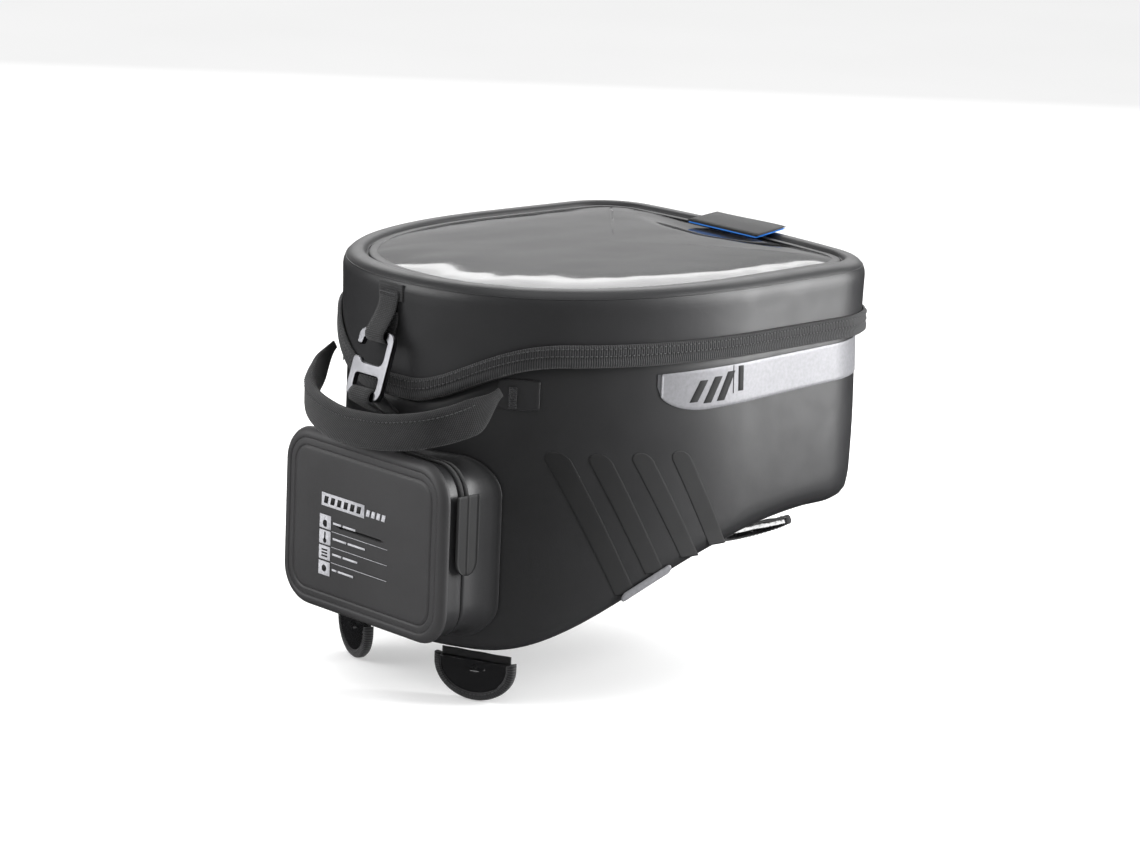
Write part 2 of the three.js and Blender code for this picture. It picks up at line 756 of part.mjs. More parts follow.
// Four slanted relief stripes: where each starts and ends on the wall.
const STRIPES = [
  { headY: -99, footY: -47, headZ: 184.6, footZ: 89 },
  { headY: -72, footY: -25, headZ: 182.8, footZ: 100 },
  { headY: -42, footY: 4, headZ: 182.2, footZ: 105 },
  { headY: -11, footY: 29, headZ: 181.3, footZ: 114 },
];
const STRIPE_WIDTH = 15;

function sideStripe(stripe, sign) {
  return wallPatch(2, 6, 0.5, 0.7, (u, v) => {
    const y = lerp(stripe.footY, stripe.headY, v) + (u - 0.5) * STRIPE_WIDTH;
    return { fraction: sign * fractionWhere("y", y), z: lerp(stripe.footZ, stripe.headZ, v) };
  });
}

function lowerReflector(sign) {
  return wallPatch(6, 1, 0.5, 0.7, (u, v) => {
    const y = lerp(-50, -14, u);
    return { fraction: sign * fractionWhere("y", y), z: floorZ(y) + lerp(4, 10, v) };
  });
}

for (const [side, sign] of [["right", 1], ["left", -1]]) {
  add("reflective_strip_" + side, reflectiveStrip(sign), reflective);
  add("lower_reflector_" + side, lowerReflector(sign), reflective);
  STRIPES.forEach((stripe, i) => {
    add("side_stripe_" + side + "_" + (i + 1), sideStripe(stripe, sign), darkFabric);
  });
}

// ---------------------------------------------------------------- pull tab of the map pocket
// It is sewn to the window frame and reaches back over the rim.
const TAB = { width: 74, length: 30, rootY: 165, rise: 7 };
const mapTab = new THREE.Group();
mapTab.position.set(0, TAB.rootY, DECK_Z + 3.4);
mapTab.rotation.x = THREE.MathUtils.degToRad(TAB.rise);
bag.add(mapTab);
add("map_tab", box(TAB.width, TAB.length, 1.6, 0, TAB.length / 2, 2.1), darkFabric, mapTab);
add("map_tab_backing", box(TAB.width - 1, TAB.length - 1, 0.9, 0, TAB.length / 2, 0.5), blueFabric, mapTab);

// ---------------------------------------------------------------- magnetic flaps
const FLAP = { width: 64, length: 30.8, thickness: 7, web: 4, webThickness: 1.4, clearance: 1.2 };
const flapPlaces = [
  { name: "front_right", x: 66, y: -122, heading: 21, tuck: 0 },
  { name: "front_left", x: -66, y: -122, heading: -21, tuck: 0 },
  { name: "rear_right", x: 122, y: 97, heading: 90, tuck: 62 },
  { name: "rear_left", x: -122, y: 97, heading: -90, tuck: 62 },
];

function tongueShape(width, length, head) {
  const r = width / 2;
  const straight = Math.max(0, length - r * 0.8);
  const shape = new THREE.Shape();
  shape.moveTo(r, head);
  shape.lineTo(-r, head);
  shape.lineTo(-r, -straight);
  shape.absellipse(0, -straight, r, length - straight, Math.PI, 2 * Math.PI, false);
  return shape;
}

function extrudedUpright(shape, thickness) {
  const body = extruded(shape, thickness, 8);
  return body.translate(0, 0, -thickness / 2).rotateX(Math.PI / 2);
}

const MAGNET = { width: 40, height: 18, thickness: 3 };

function flapPad() {
  const pad = toManifold(extrudedUpright(tongueShape(FLAP.width, FLAP.length, 0), FLAP.thickness));
  const webMiddle = (FLAP.web - 1) / 2;
  const web = box(FLAP.width - 8, FLAP.webThickness, FLAP.web + 1, 0, FLAP.thickness / 4, webMiddle);
  const slotWidth = MAGNET.width + 2 * GAP;
  const slotDepth = MAGNET.thickness + 2 * GAP;
  const slot = box(slotWidth, slotDepth, MAGNET.height + 12, 0, -0.6, -MAGNET.height / 2 + 3);
  return fromManifold(pad.add(toManifold(web)).subtract(toManifold(slot)));
}

for (const place of flapPlaces) {
  const flap = new THREE.Group();
  const lowest = place.y - Math.abs(Math.sin(THREE.MathUtils.degToRad(place.heading))) * (FLAP.width / 2);
  const rootZ = Math.min(floorZ(place.y), floorZ(lowest)) - FLAP.web - FLAP.clearance;
  flap.position.set(place.x, place.y, rootZ);
  flap.rotation.order = "ZXY";
  flap.rotation.z = THREE.MathUtils.degToRad(place.heading);
  flap.rotation.x = THREE.MathUtils.degToRad(place.tuck);
  bag.add(flap);
  add("flap_" + place.name, flapPad(), darkFabric, flap);
  const magnet = box(MAGNET.width, MAGNET.thickness, MAGNET.height, 0, -0.6, -MAGNET.height / 2 - 2.2);
  add("flap_magnet_" + place.name, magnet, magnetSteel, flap);
}

// The frame's origin is under the middle of the overall length.
const MIDDLE_Y = 2.25;
bag.position.y = -MIDDLE_Y;

export default bag;
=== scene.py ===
"""The looks of a motorcycle tank bag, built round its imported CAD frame.

Every shape is worked out in millimetres in the frame's axes: +Z up, the pocket towards -Y.
"""

import math

import bmesh
import bpy
import numpy as np
from mathutils import Matrix, Vector, noise


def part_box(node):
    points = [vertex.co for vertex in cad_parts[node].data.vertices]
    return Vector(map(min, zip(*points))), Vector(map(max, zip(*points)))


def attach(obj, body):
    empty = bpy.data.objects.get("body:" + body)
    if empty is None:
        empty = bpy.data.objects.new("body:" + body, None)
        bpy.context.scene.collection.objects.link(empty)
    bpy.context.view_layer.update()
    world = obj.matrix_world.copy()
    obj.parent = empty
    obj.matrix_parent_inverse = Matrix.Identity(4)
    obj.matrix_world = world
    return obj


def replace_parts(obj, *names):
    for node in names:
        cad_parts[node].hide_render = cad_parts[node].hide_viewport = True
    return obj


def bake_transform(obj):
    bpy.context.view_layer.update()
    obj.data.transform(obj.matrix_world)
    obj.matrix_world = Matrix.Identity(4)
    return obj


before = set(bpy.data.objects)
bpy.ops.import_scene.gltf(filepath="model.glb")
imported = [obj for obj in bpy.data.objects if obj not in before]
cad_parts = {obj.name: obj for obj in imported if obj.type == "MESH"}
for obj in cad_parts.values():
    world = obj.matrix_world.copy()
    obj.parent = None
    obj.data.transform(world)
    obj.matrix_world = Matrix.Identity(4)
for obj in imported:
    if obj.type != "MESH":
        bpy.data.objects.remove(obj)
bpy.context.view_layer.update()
MM = 0.001


def cad_box(node):
    low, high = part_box(node)
    return np.array(low) / MM, np.array(high) / MM


# ------------------------------------------------------------ driving dimensions, in millimetres
LID_LOW, LID_HIGH = cad_box("lid_shell")
HALF_WIDTH = LID_HIGH[0]
NOSE_Y = LID_LOW[1]
REAR_Y = LID_HIGH[1]
RIM_Z = LID_HIGH[2]
BOW_Y = NOSE_Y + 201
BOW_FULLNESS = 0.62
RIM_RADIUS = 12
RIM_WIDTH = 17
DECK_Z = RIM_Z - 5

FLAP_LINE_Z = cad_box("lid_binding")[1][2] - 15
FRONT_DIP = 33.5
DIP_OUTER_X = 118
DIP_INNER_X = 22
BINDING_HEIGHT = 15

BODY_INSET = 5.1
BODY_WALL = 3.4
BODY_EDGE = 14

POCKET_LOW, POCKET_HIGH = cad_box("pocket_rim")
POCKET_HALF_WIDTH = POCKET_HIGH[0]
POCKET_MIDDLE_Z = (POCKET_LOW[2] + POCKET_HIGH[2]) / 2
POCKET_HALF_HEIGHT = (POCKET_HIGH[2] - POCKET_LOW[2]) / 2
POCKET_CORNER = 27
POCKET_ZIP_Y = cad_box("pocket_cover")[1][1] + 0.4
POCKET_FACE_Y = POCKET_LOW[1] + 1.8
SIDES = {"right": 1, "left": -1}


# ------------------------------------------------------------ curves and the plan outline
def smooth(t):
    t = np.clip(t, 0, 1)
    return t * t * (3 - 2 * t)


def lerp(a, b, t):
    return a + (b - a) * t


def bezier(points, count):
    t = np.linspace(0, 1, count)[:, None]
    layer = [np.repeat([p], count, 0).astype(float) for p in points]
    while len(layer) > 1:
        layer = [lerp(a, b, t) for a, b in zip(layer, layer[1:])]
    return layer[0]


def catmull(points, count):
    """A smooth curve through the points, sampled at equal steps of its length."""
    points = np.array(points, float)
    padded = np.vstack([2 * points[0] - points[1], points, 2 * points[-1] - points[-2]])
    pieces = []
    for a, b, c, d in zip(padded, padded[1:], padded[2:], padded[3:]):
        t = np.linspace(0, 1, 24, endpoint=False)[:, None]
        square = (2 * a - 5 * b + 4 * c - d) * t**2
        cube = (3 * b - a - 3 * c + d) * t**3
        pieces.append(0.5 * (2 * b + (c - a) * t + square + cube))
    return resample(np.vstack([*pieces, points[-1:]]), count)


def resample(line, count):
    steps = np.linalg.norm(np.diff(line, axis=0), axis=1)
    along = np.concatenate([[0], np.cumsum(steps)])
    at = np.linspace(0, along[-1], count)
    return np.stack([np.interp(at, along, line[:, k]) for k in range(line.shape[1])], -1)


def directions(line):
    """The unit tangent at each point of a line."""
    along = np.gradient(line, axis=0)
    return along / np.linalg.norm(along, axis=1)[:, None]


def circle(count):
    """Cosine and sine at equal steps round a circle."""
    return [(math.cos(2 * math.pi * k / count), math.sin(2 * math.pi * k / count)) for k in range(count)]


def round_end(distance, radius, least=0.02):
    """The relative width, up to 1, of a round-ended shape at a distance in from its tip."""
    return np.sqrt(np.clip(1 - np.clip(1 - distance / radius, 0, 1) ** 2, least, 1))


SIDE_END = (HALF_WIDTH - 3.5, REAR_Y - 59)
CORNER_END = (HALF_WIDTH - 51, REAR_Y - 5.5)
BOW = (BOW_Y - NOSE_Y) * BOW_FULLNESS
half = np.vstack([
    bezier([(0, NOSE_Y), (HALF_WIDTH * BOW_FULLNESS, NOSE_Y), (HALF_WIDTH, BOW_Y - BOW), (HALF_WIDTH, BOW_Y)], 200),
    bezier([(HALF_WIDTH, BOW_Y), SIDE_END], 60)[1:],
    bezier([SIDE_END, (HALF_WIDTH - 4.5, REAR_Y - 34), (HALF_WIDTH - 19, REAR_Y - 10), CORNER_END], 80)[1:],
    bezier([CORNER_END, (50, REAR_Y), (0, REAR_Y)], 80)[1:],
])
HALF_PLAN = resample(half, 900)
ALONG = np.linspace(0, 1, len(HALF_PLAN))
TANGENT = np.gradient(HALF_PLAN, axis=0)
TANGENT[0] = TANGENT[0] * (1, 0)
TANGENT[-1] = TANGENT[-1] * (1, 0)
TANGENT /= np.linalg.norm(TANGENT, axis=1)[:, None]


def plan(fraction, inset=0.0):
    """X and Y on the outline: 0 is the nose, 1 the middle of the rear, and the left side is negative."""
    fraction = (np.asarray(fraction, float) + 1) % 2 - 1
    t = np.abs(fraction)
    side = np.where(fraction < 0, -1, 1)
    x, y, tx, ty = (np.interp(t, ALONG, column) for column in (*HALF_PLAN.T, *TANGENT.T))
    return side * (x - inset * ty), y + inset * tx


def at_y(y):
    return np.interp(y, HALF_PLAN[:, 1], ALONG)


def at_x(x):
    front = HALF_PLAN[:, 1] < BOW_Y
    return np.interp(np.abs(x), HALF_PLAN[front, 0], ALONG[front])


def flap_line(x, y):
    """The foot of the binding: level at the sides and the rear, dipping under the nose."""
    dip = smooth((DIP_OUTER_X - np.abs(x)) / (DIP_OUTER_X - DIP_INNER_X))
    return FLAP_LINE_Z - FRONT_DIP * np.where(np.asarray(y) < 0, dip, 0)


FLOOR = bezier([(-124.25, 36), (-77.25, 38), (-27.25, 112), (122.75, 120.5)], 200)


def floor_z(y):
    return np.interp(y, FLOOR[:, 0], FLOOR[:, 1])


def bulge(fraction, z):
    """How far the filled bag pushes its side walls out, away from the pocket and the seams."""
    away = smooth((np.abs(fraction) - 0.27) / 0.16)
    height = np.clip((z - 120) / 120, 0, 1)
    return away * (1.3 * np.sin(np.pi * height) + 0.35 * np.sin(9 * np.pi * fraction) * np.sin(np.pi * height))


def wall(fraction, z, lift=0.0):
    """Points on the body's outer wall, lifted off it."""
    x, y = plan(fraction, BODY_INSET - bulge(fraction, z) - lift)
    return np.stack([x, y, np.broadcast_to(z, x.shape)], -1)


def wall_y(x, lift=0.0):
    return plan(at_x(x), BODY_INSET - lift)[1]


# ------------------------------------------------------------ mesh building
def make(name, points, faces, body, paint, lay=None, merge=0.002):
    """A smooth mesh from points in millimetres, riding on a CAD body. lay gives millimetres along and across."""
    mesh = bpy.data.meshes.new(name)
    mesh.from_pydata((np.asarray(points) * MM).tolist(), [], faces)
    if lay is not None:
        values = np.zeros((len(points), 3), np.float32)
        values[:, :2] = lay
        mesh.attributes.new("lay", "FLOAT_VECTOR", "POINT").data.foreach_set("vector", values.ravel())
    work = bmesh.new()
    work.from_mesh(mesh)
    bmesh.ops.remove_doubles(work, verts=work.verts, dist=merge * MM)
    bmesh.ops.dissolve_degenerate(work, edges=work.edges, dist=merge * MM)
    bmesh.ops.recalc_face_normals(work, faces=work.faces)
    work.to_mesh(mesh)
    work.free()
    mesh.polygons.foreach_set("use_smooth", [True] * len(mesh.polygons))
    mesh.materials.append(paint.material)
    obj = bpy.data.objects.new(name, mesh)
    bpy.context.scene.collection.objects.link(obj)
    if body:
        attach(obj, body)
    return obj


def grid(rows, columns, wrap_rows=False, wrap_columns=False):
    faces = []
    for r in range(rows if wrap_rows else rows - 1):
        for c in range(columns if wrap_columns else columns - 1):
            a, b = r * columns + c, r * columns + (c + 1) % columns
            up = ((r + 1) % rows) * columns
            faces.append((a, b, up + (c + 1) % columns, up + c))
    return faces


def loft(name, rings, body, paint, wrap=False, ends=False):
    """Joins closed rings; ends closes the first and the last with a face."""
    rings = np.array(rings, float)
    rows, columns = rings.shape[:2]
    faces = grid(rows, columns, wrap, True)
    if ends:
        faces += [tuple(range(columns)), tuple(range((rows - 1) * columns, rows * columns))]
    step = np.linalg.norm(np.roll(rings, -1, 1) - rings, axis=2).mean(0)
    around = np.concatenate([[0], np.cumsum(step)[:-1]])
    across = np.concatenate([[0], np.cumsum(np.linalg.norm(np.diff(rings, axis=0), axis=2).mean(1))])
    lay = np.stack(np.broadcast_arrays(around[None, :], across[:, None]), -1).reshape(-1, 2)
    return make(name, rings.reshape(-1, 3), faces, body, paint, lay)


def strip(name, sections, body, paint):
    """Sweeps a closed section along a line: sections is stations by section points by XYZ, with closed ends."""
    sections = np.array(sections, float)
    stations, around = sections.shape[:2]
    faces = grid(stations, around, False, True)
    faces += [tuple(range(around)), tuple(range((stations - 1) * around, stations * around))]
    middle = sections.mean(1)
    along = np.concatenate([[0], np.cumsum(np.linalg.norm(np.diff(middle, axis=0), axis=1))])
    round_step = np.linalg.norm(np.roll(sections, -1, 1) - sections, axis=2).mean(0)
    across = np.concatenate([[0], np.cumsum(round_step)[:-1]])
    lay = np.stack(np.broadcast_arrays(along[:, None], across[None, :]), -1).reshape(-1, 2)
    return make(name, sections.reshape(-1, 3), faces, body, paint, lay)


def patch(name, place, nu, nv, thickness, body, paint):
    """A thin closed slab: place(u, v, lift) gives its points for u and v from 0 to 1."""
    rows, columns = (np.concatenate([[0, 0.012], np.linspace(0, 1, n - 2)[1:-1], [0.988, 1]]) for n in (nu, nv))
    u, v = (axis.ravel() for axis in np.meshgrid(rows, columns, indexing="ij"))
    under, over = place(u, v, 0.0), place(u, v, thickness)
    border_point = (u == 0) | (u == 1) | (v == 0) | (v == 1)
    over = lerp(under, over, np.where(border_point, 0.6, 1)[:, None])
    count = nu * nv
    faces = grid(nu, nv)
    top = [tuple(i + count for i in reversed(f)) for f in faces]
    border = list(range(nv)) + [r * nv + nv - 1 for r in range(1, nu)]
    border += [(nu - 1) * nv + c for c in range(nv - 2, -1, -1)] + [r * nv for r in range(nu - 2, 0, -1)]
    sides = [(a, b, b + count, a + count) for a, b in zip(border, border[1:] + border[:1])]
    grid_points = over.reshape(nu, nv, 3)
    length = np.linalg.norm(np.diff(grid_points, axis=0), axis=2).sum(0).mean()
    width = np.linalg.norm(np.diff(grid_points, axis=1), axis=2).sum(1).mean()
    lay = np.stack([u * length, v * width], -1)
    return make(name, np.vstack([under, over]), faces + top + sides, body, paint, np.vstack([lay, lay]))


def ring(inset, z, count=240):
    """A closed ring of the plan outline; z is a number or a function of X and Y."""
    x, y = plan(np.arange(count) * 2 / count, inset)
    height = z(x, y) if callable(z) else np.full(count, float(z))
    return np.stack([x, y, height], -1)


def to_spine(last, steps, z=None):
    """Rings from the last ring in to a line down the middle of the bag."""
    spine = last.copy()
    spine[:, 0] = 0
    spine[:, 1] = np.clip(last[:, 1], last[:, 1].min() + 90, last[:, 1].max() - 90)
    rings = []
    for t in np.linspace(0, 1, steps + 1)[1:]:
        between = lerp(last, spine, t)
        between[:, 2] = z(between[:, 0], between[:, 1]) if z else last[:, 2]
        rings.append(between)
    return rings


def tube_faces(start, levels, around):
    """The faces of a small closed tube whose points begin at index start."""
    walls = [tuple(start + i for i in face) for face in grid(levels, around, False, True)]
    last = start + (levels - 1) * around
    return walls + [tuple(range(start, start + around)), tuple(range(last, last + around))]


def stitches(name, line, normals, pitch, body, paint, radius=0.32, share=0.72):
    """A row of thread stitches, each a low bent capsule, along a line that lies on a surface."""
    line, normals = np.asarray(line, float), np.asarray(normals, float)
    length = np.linalg.norm(np.diff(line, axis=0), axis=1).sum()
    count = max(2, int(length / pitch))
    fine = resample(np.hstack([line, normals]), count * 4 + 1)
    points, faces = [], []
    for i in range(count):
        a, b = fine[4 * i], fine[min(4 * i + 4, len(fine) - 1)]
        b = lerp(a, b, share)
        up = a[3:] / np.linalg.norm(a[3:])
        side = np.cross(b[:3] - a[:3], up)
        side /= max(np.linalg.norm(side), 1e-9)
        start = len(points)
        for t, rise, size in ((0, -0.1, 0.35), (0.2, 0.55, 1), (0.8, 0.55, 1), (1, -0.1, 0.35)):
            middle = lerp(a[:3], b[:3], t) + up * radius * rise
            points += [middle + (side * c + up * s) * radius * size for c, s in circle(6)]
        faces += tube_faces(start, 4, 6)
    return make(name, points, faces, body, paint, merge=0.0001)


def ripple(points, size, seed):
    """Smooth noise from -1 to 1 at each point, with features of the given size in millimetres."""
    shift = Vector((seed * 17.3, seed * 5.1, seed * 9.7))
    return np.array([noise.noise(Vector(p) / size + shift) for p in points])


# ------------------------------------------------------------ materials
class Paint:
    """A node material: a Principled shader whose colour, roughness and bump come from procedural nodes."""

    def __init__(self, name, roughness=0.5, metallic=0.0, **uniform):
        self.material = bpy.data.materials.new(name)
        self.material.use_nodes = True
        self.nodes = self.material.node_tree.nodes
        self.links = self.material.node_tree.links
        self.shader = self.nodes["Principled BSDF"]
        self.shader.inputs["Roughness"].default_value = roughness
        self.shader.inputs["Metallic"].default_value = metallic
        for socket, value in uniform.items():
            self.shader.inputs[socket.replace("_", " ")].default_value = value

    def place(self):
        node = self.nodes.new("ShaderNodeTexCoord")
        return node.outputs["Object"]

    def lay(self):
        """Millimetres along and across the piece, as its mesh carries them."""
        node = self.nodes.new("ShaderNodeAttribute")
        node.attribute_name = "lay"
        split = self.nodes.new("ShaderNodeSeparateXYZ")
        self.links.new(node.outputs["Vector"], split.inputs[0])
        return split.outputs["X"], split.outputs["Y"]

    def math(self, operation, a, b=0.0, c=0.0):
        node = self.nodes.new("ShaderNodeMath")
        node.operation = operation
        for socket, value in zip(node.inputs, (a, b, c)):
            if isinstance(value, (int, float)):
                socket.default_value = value
            else:
                self.links.new(value, socket)
        return node.outputs[0]

    def noise(self, scale, detail=2.0, stretch=(1, 1, 1)):
        mapping = self.nodes.new("ShaderNodeMapping")
        mapping.inputs["Scale"].default_value = stretch
        self.links.new(self.place(), mapping.inputs[0])
        node = self.nodes.new("ShaderNodeTexNoise")
        node.inputs["Scale"].default_value = scale
        node.inputs["Detail"].default_value = detail
        self.links.new(mapping.outputs[0], node.inputs["Vector"])
        return node.outputs[0]

    def cells(self, scale):
        node = self.nodes.new("ShaderNodeTexVoronoi")
        node.inputs["Scale"].default_value = scale
        self.links.new(self.place(), node.inputs["Vector"])
        return node.outputs["Distance"]

    def wave(self, value, pitch, phase=0.0):
        """A sine from 0 to 1 with the given pitch in the value's own units."""
        turned = self.math("MULTIPLY_ADD", value, 2 * math.pi / pitch, phase)
        return self.math("MULTIPLY_ADD", self.math("SINE", turned), 0.5, 0.5)

    def color(self, factor, *stops):
        ramp = self.nodes.new("ShaderNodeValToRGB")
        elements = ramp.color_ramp.elements
        for i, (at, rgb) in enumerate(stops):
            element = elements[i] if i < 2 else elements.new(at)
            element.position = at
            element.color = (*rgb, 1)
        self.links.new(factor, ramp.inputs[0])
        self.links.new(ramp.outputs[0], self.shader.inputs["Base Color"])
        return self

    def rough(self, factor, low, high):
        node = self.nodes.new("ShaderNodeMapRange")
        node.inputs["To Min"].default_value = low
        node.inputs["To Max"].default_value = high
        self.links.new(factor, node.inputs["Value"])
        self.links.new(node.outputs[0], self.shader.inputs["Roughness"])
        return self

    def bump(self, height, distance, strength=1.0):
        """Adds relief, distance millimetres deep, on top of any that is there."""
        node = self.nodes.new("ShaderNodeBump")
        node.inputs["Distance"].default_value = distance * MM
        node.inputs["Strength"].default_value = strength
        self.links.new(height, node.inputs["Height"])
        last = self.shader.inputs["Normal"]
        if last.is_linked:
            self.links.new(last.links[0].from_socket, node.inputs["Normal"])
        self.links.new(node.outputs[0], last)
        return self


def grey(value, warmth=0.0):
    return (value * (1 + warmth), value, value * (1.06 - warmth))


def coated(name, tone, roughness, warmth=0.0, grain=0.035):
    """Fabric under a satin coating: cloudy tone, a fine leathery grain and a faint weave."""
    paint = Paint(name, Specular_IOR_Level=0.5)
    clouds = paint.noise(9, 3)
    paint.color(clouds, (0.3, grey(tone * 0.86, warmth)), (0.7, grey(tone * 1.14, warmth)))
    paint.rough(paint.noise(55, 3), roughness - 0.06, roughness + 0.07)
    paint.bump(paint.cells(1500), grain)
    paint.bump(paint.noise(160, 2), 0.06)
    return paint


def woven(name, tone, across_pitch, along_pitch, depth=0.22, diagonal=0.0, roughness=0.8):
    """Webbing: ribs across the strap, crossed by finer yarns; diagonal turns the ribs into a twill."""
    paint = Paint(name, roughness, Sheen_Weight=0.12, Sheen_Roughness=0.5)
    u, v = paint.lay()
    slanted = paint.math("MULTIPLY_ADD", v, diagonal, u)
    ribs = paint.wave(slanted, across_pitch)
    yarns = paint.wave(paint.math("MULTIPLY_ADD", u, -0.5 * diagonal, v), along_pitch)
    crossed = paint.math("MULTIPLY", ribs, yarns)
    height = paint.math("MULTIPLY_ADD", crossed, 0.6, paint.math("MULTIPLY", ribs, 0.6))
    # Colour follows the weave's height: painted shade in the hollows between ribs and yarns and painted light on
    # their crests, with a random patchy tone on top.
    hollow_shade_and_wear = paint.math("MULTIPLY", height, paint.math("MULTIPLY_ADD", paint.noise(120, 2), 0.8, 0.5))
    paint.color(hollow_shade_and_wear, (0.05, grey(tone * 0.35)), (0.95, grey(tone * 2.0)))
    paint.bump(height, depth)
    return paint


skin = coated("coated_fabric", 0.021, 0.44)
lid_coat = coated("coated_fabric_lid", 0.023, 0.42)
# The pocket's fabric is a paler tone than the body's: painted light, standing for the key light on the front face.
lit_pocket_coat = coated("coated_fabric_pocket_painted_light", 0.036, 0.55, 0.02)
lining_coat = coated("lining_fabric", 0.03, 0.6)
dark_coat = coated("dark_fabric", 0.012, 0.62)
matte = coated("matte_relief", 0.013, 0.66, 0.0, 0.05)
ribbon = woven("ribbed_binding", 0.02, 1.7, 0.9, 0.3)
tape = woven("strap_webbing", 0.017, 1.25, 1.9, 0.25)
twill = woven("handle_twill", 0.015, 1.7, 1.3, 0.2, 0.9)
zip_tape = woven("zip_tape", 0.012, 0.9, 0.9, 0.15)

thread = Paint("thread", 0.6, Sheen_Weight=0.2)
thread.color(thread.noise(900, 1), (0.3, grey(0.018)), (0.7, grey(0.05)))
thread.bump(thread.noise(2500, 1), 0.05)

film = Paint("clear_film", 0.07, Specular_IOR_Level=0.5, Coat_Weight=0.6, Coat_Roughness=0.04, Alpha=0.62)
film.color(film.noise(14, 2), (0.3, grey(0.026)), (0.7, grey(0.04)))
film.rough(film.noise(30, 3), 0.05, 0.14)
film.bump(film.noise(26, 2), 0.5, 0.6)
film.material.surface_render_method = "BLENDED"

panel = coated("map_panel_fabric", 0.014, 0.7)
silver = Paint("reflective_print", 0.42, 0.25, Specular_IOR_Level=0.6)
silver.color(silver.noise(420, 3), (0.3, grey(0.19)), (0.7, grey(0.23)))
silver.rough(silver.noise(300, 2), 0.34, 0.5)
silver.bump(silver.cells(2600), 0.03)

print_ink = Paint("pale_print", 0.6)
print_ink.color(print_ink.noise(500, 3), (0.25, grey(0.36)), (0.7, grey(0.5)))
print_ink.bump(print_ink.cells(2400), 0.02)

metal = Paint("bead_blasted_aluminium", 0.34, 1.0)
metal.color(metal.noise(60, 3), (0.3, grey(0.2)), (0.7, grey(0.27)))
metal.rough(metal.noise(420, 3), 0.26, 0.42)
metal.bump(metal.noise(2200, 2), 0.03)

blue = coated("blue_lining", 0.02, 0.45)
blue.color(blue.noise(60, 2), (0.3, (0.012, 0.16, 0.62)), (0.7, (0.016, 0.22, 0.78)))

zip_coat = Paint("zip_plastic", 0.4, Specular_IOR_Level=0.5)
zip_coat.color(zip_coat.noise(200, 2), (0.3, grey(0.014)), (0.7, grey(0.024)))
zip_coat.bump(zip_coat.noise(900, 2), 0.03)

glossy = coated("glossy_backing", 0.010, 0.2, 0.0, 0.02)
glossy.bump(glossy.noise(70, 3), 1.2, 0.8)

board = Paint("foam_board", 0.8)
board.color(board.cells(700), (0.1, grey(0.02)), (0.8, grey(0.06)))
board.bump(board.cells(700), 0.2)

plated = Paint("plated_steel", 0.3, 1.0)
plated.color(plated.noise(90, 2), (0.3, grey(0.4)), (0.7, grey(0.55)))
plated.bump(plated.noise(1200, 2), 0.02)


# ------------------------------------------------------------ body
def edge_profile(inset, base, radius, count=5):
    """Rings round the lower edge: from the flat underside out to the wall."""
    rings = []
    for a in np.linspace(0, math.pi / 2, count):
        out = inset + radius * (1 - math.sin(a))
        rise = base + radius * (1 - math.cos(a))
        rings.append(ring(out, lambda x, y, rise=rise: floor_z(y) + rise))
    return rings


def wall_rings(inset, foot, head, count, soft=True):
    """Rings up the wall from foot above the floor to head above the flap line."""
    rings = []
    fractions = np.arange(240) * 2 / 240
    signed = (fractions + 1) % 2 - 1
    for t in np.linspace(0, 1, count):
        x, y = plan(fractions, inset)
        z = lerp(floor_z(y) + foot, flap_line(x, y) + head, t)
        x, y = plan(fractions, inset - (bulge(signed, z) if soft else 0))
        rings.append(np.stack([x, y, z], -1))
    return rings


def tub(name, inset, base, thickness, head, body, paint, soft=True):
    """A closed shell: floor, rounded lower edge, walls and a rounded lip."""
    inner = inset + thickness
    outer_edge = edge_profile(inset, base, BODY_EDGE)
    floor_out = to_spine(outer_edge[0], 7, lambda x, y: floor_z(y) + base)[::-1]
    inner_edge = edge_profile(inner, base + thickness, BODY_EDGE)
    floor_in = to_spine(inner_edge[0], 7, lambda x, y: floor_z(y) + base + thickness)
    out_wall = wall_rings(inset, base + BODY_EDGE, head - 1, 18, soft)[1:]
    in_wall = wall_rings(inner, base + thickness + BODY_EDGE, head - 1, 18, soft)[1:]
    lip = lerp(out_wall[-1], in_wall[-1], 0.5) + (0, 0, 1)
    rings = [*floor_out, *outer_edge, *out_wall, lip, *in_wall[::-1], *inner_edge[::-1], *floor_in]
    return loft(name, rings, body, paint)


body_skin = tub("body_skin", BODY_INSET, 0, BODY_WALL, 2, "body", skin)
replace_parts(body_skin, "body_shell")
lining = tub("lining_skin", BODY_INSET + BODY_WALL + 0.4, BODY_WALL + 0.4, 1, -2, "body", lining_coat)
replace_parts(lining, "body_lining")

mat_inset = BODY_INSET + BODY_WALL + BODY_EDGE + 6
mat_base = BODY_WALL + 2.2


def mat_ring(inset, lift):
    return ring(inset, lambda x, y: floor_z(y) + mat_base + lift)


mat_rings = to_spine(mat_ring(mat_inset + 1, 0), 6, lambda x, y: floor_z(y) + mat_base)[::-1]
mat_rings += [mat_ring(mat_inset + inset, lift) for inset, lift in ((1, 0), (0, 0.8), (0, 2), (1.5, 3))]
mat_rings += to_spine(mat_ring(mat_inset + 8, 3.4), 6, lambda x, y: floor_z(y) + mat_base + 3.4)
base_mat = loft("base_mat", mat_rings, "body", board)
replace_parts(base_mat, "base_board")


# ------------------------------------------------------------ lid
def over_line(inset, lift):
    return ring(inset, lambda x, y: flap_line(x, y) + lift)


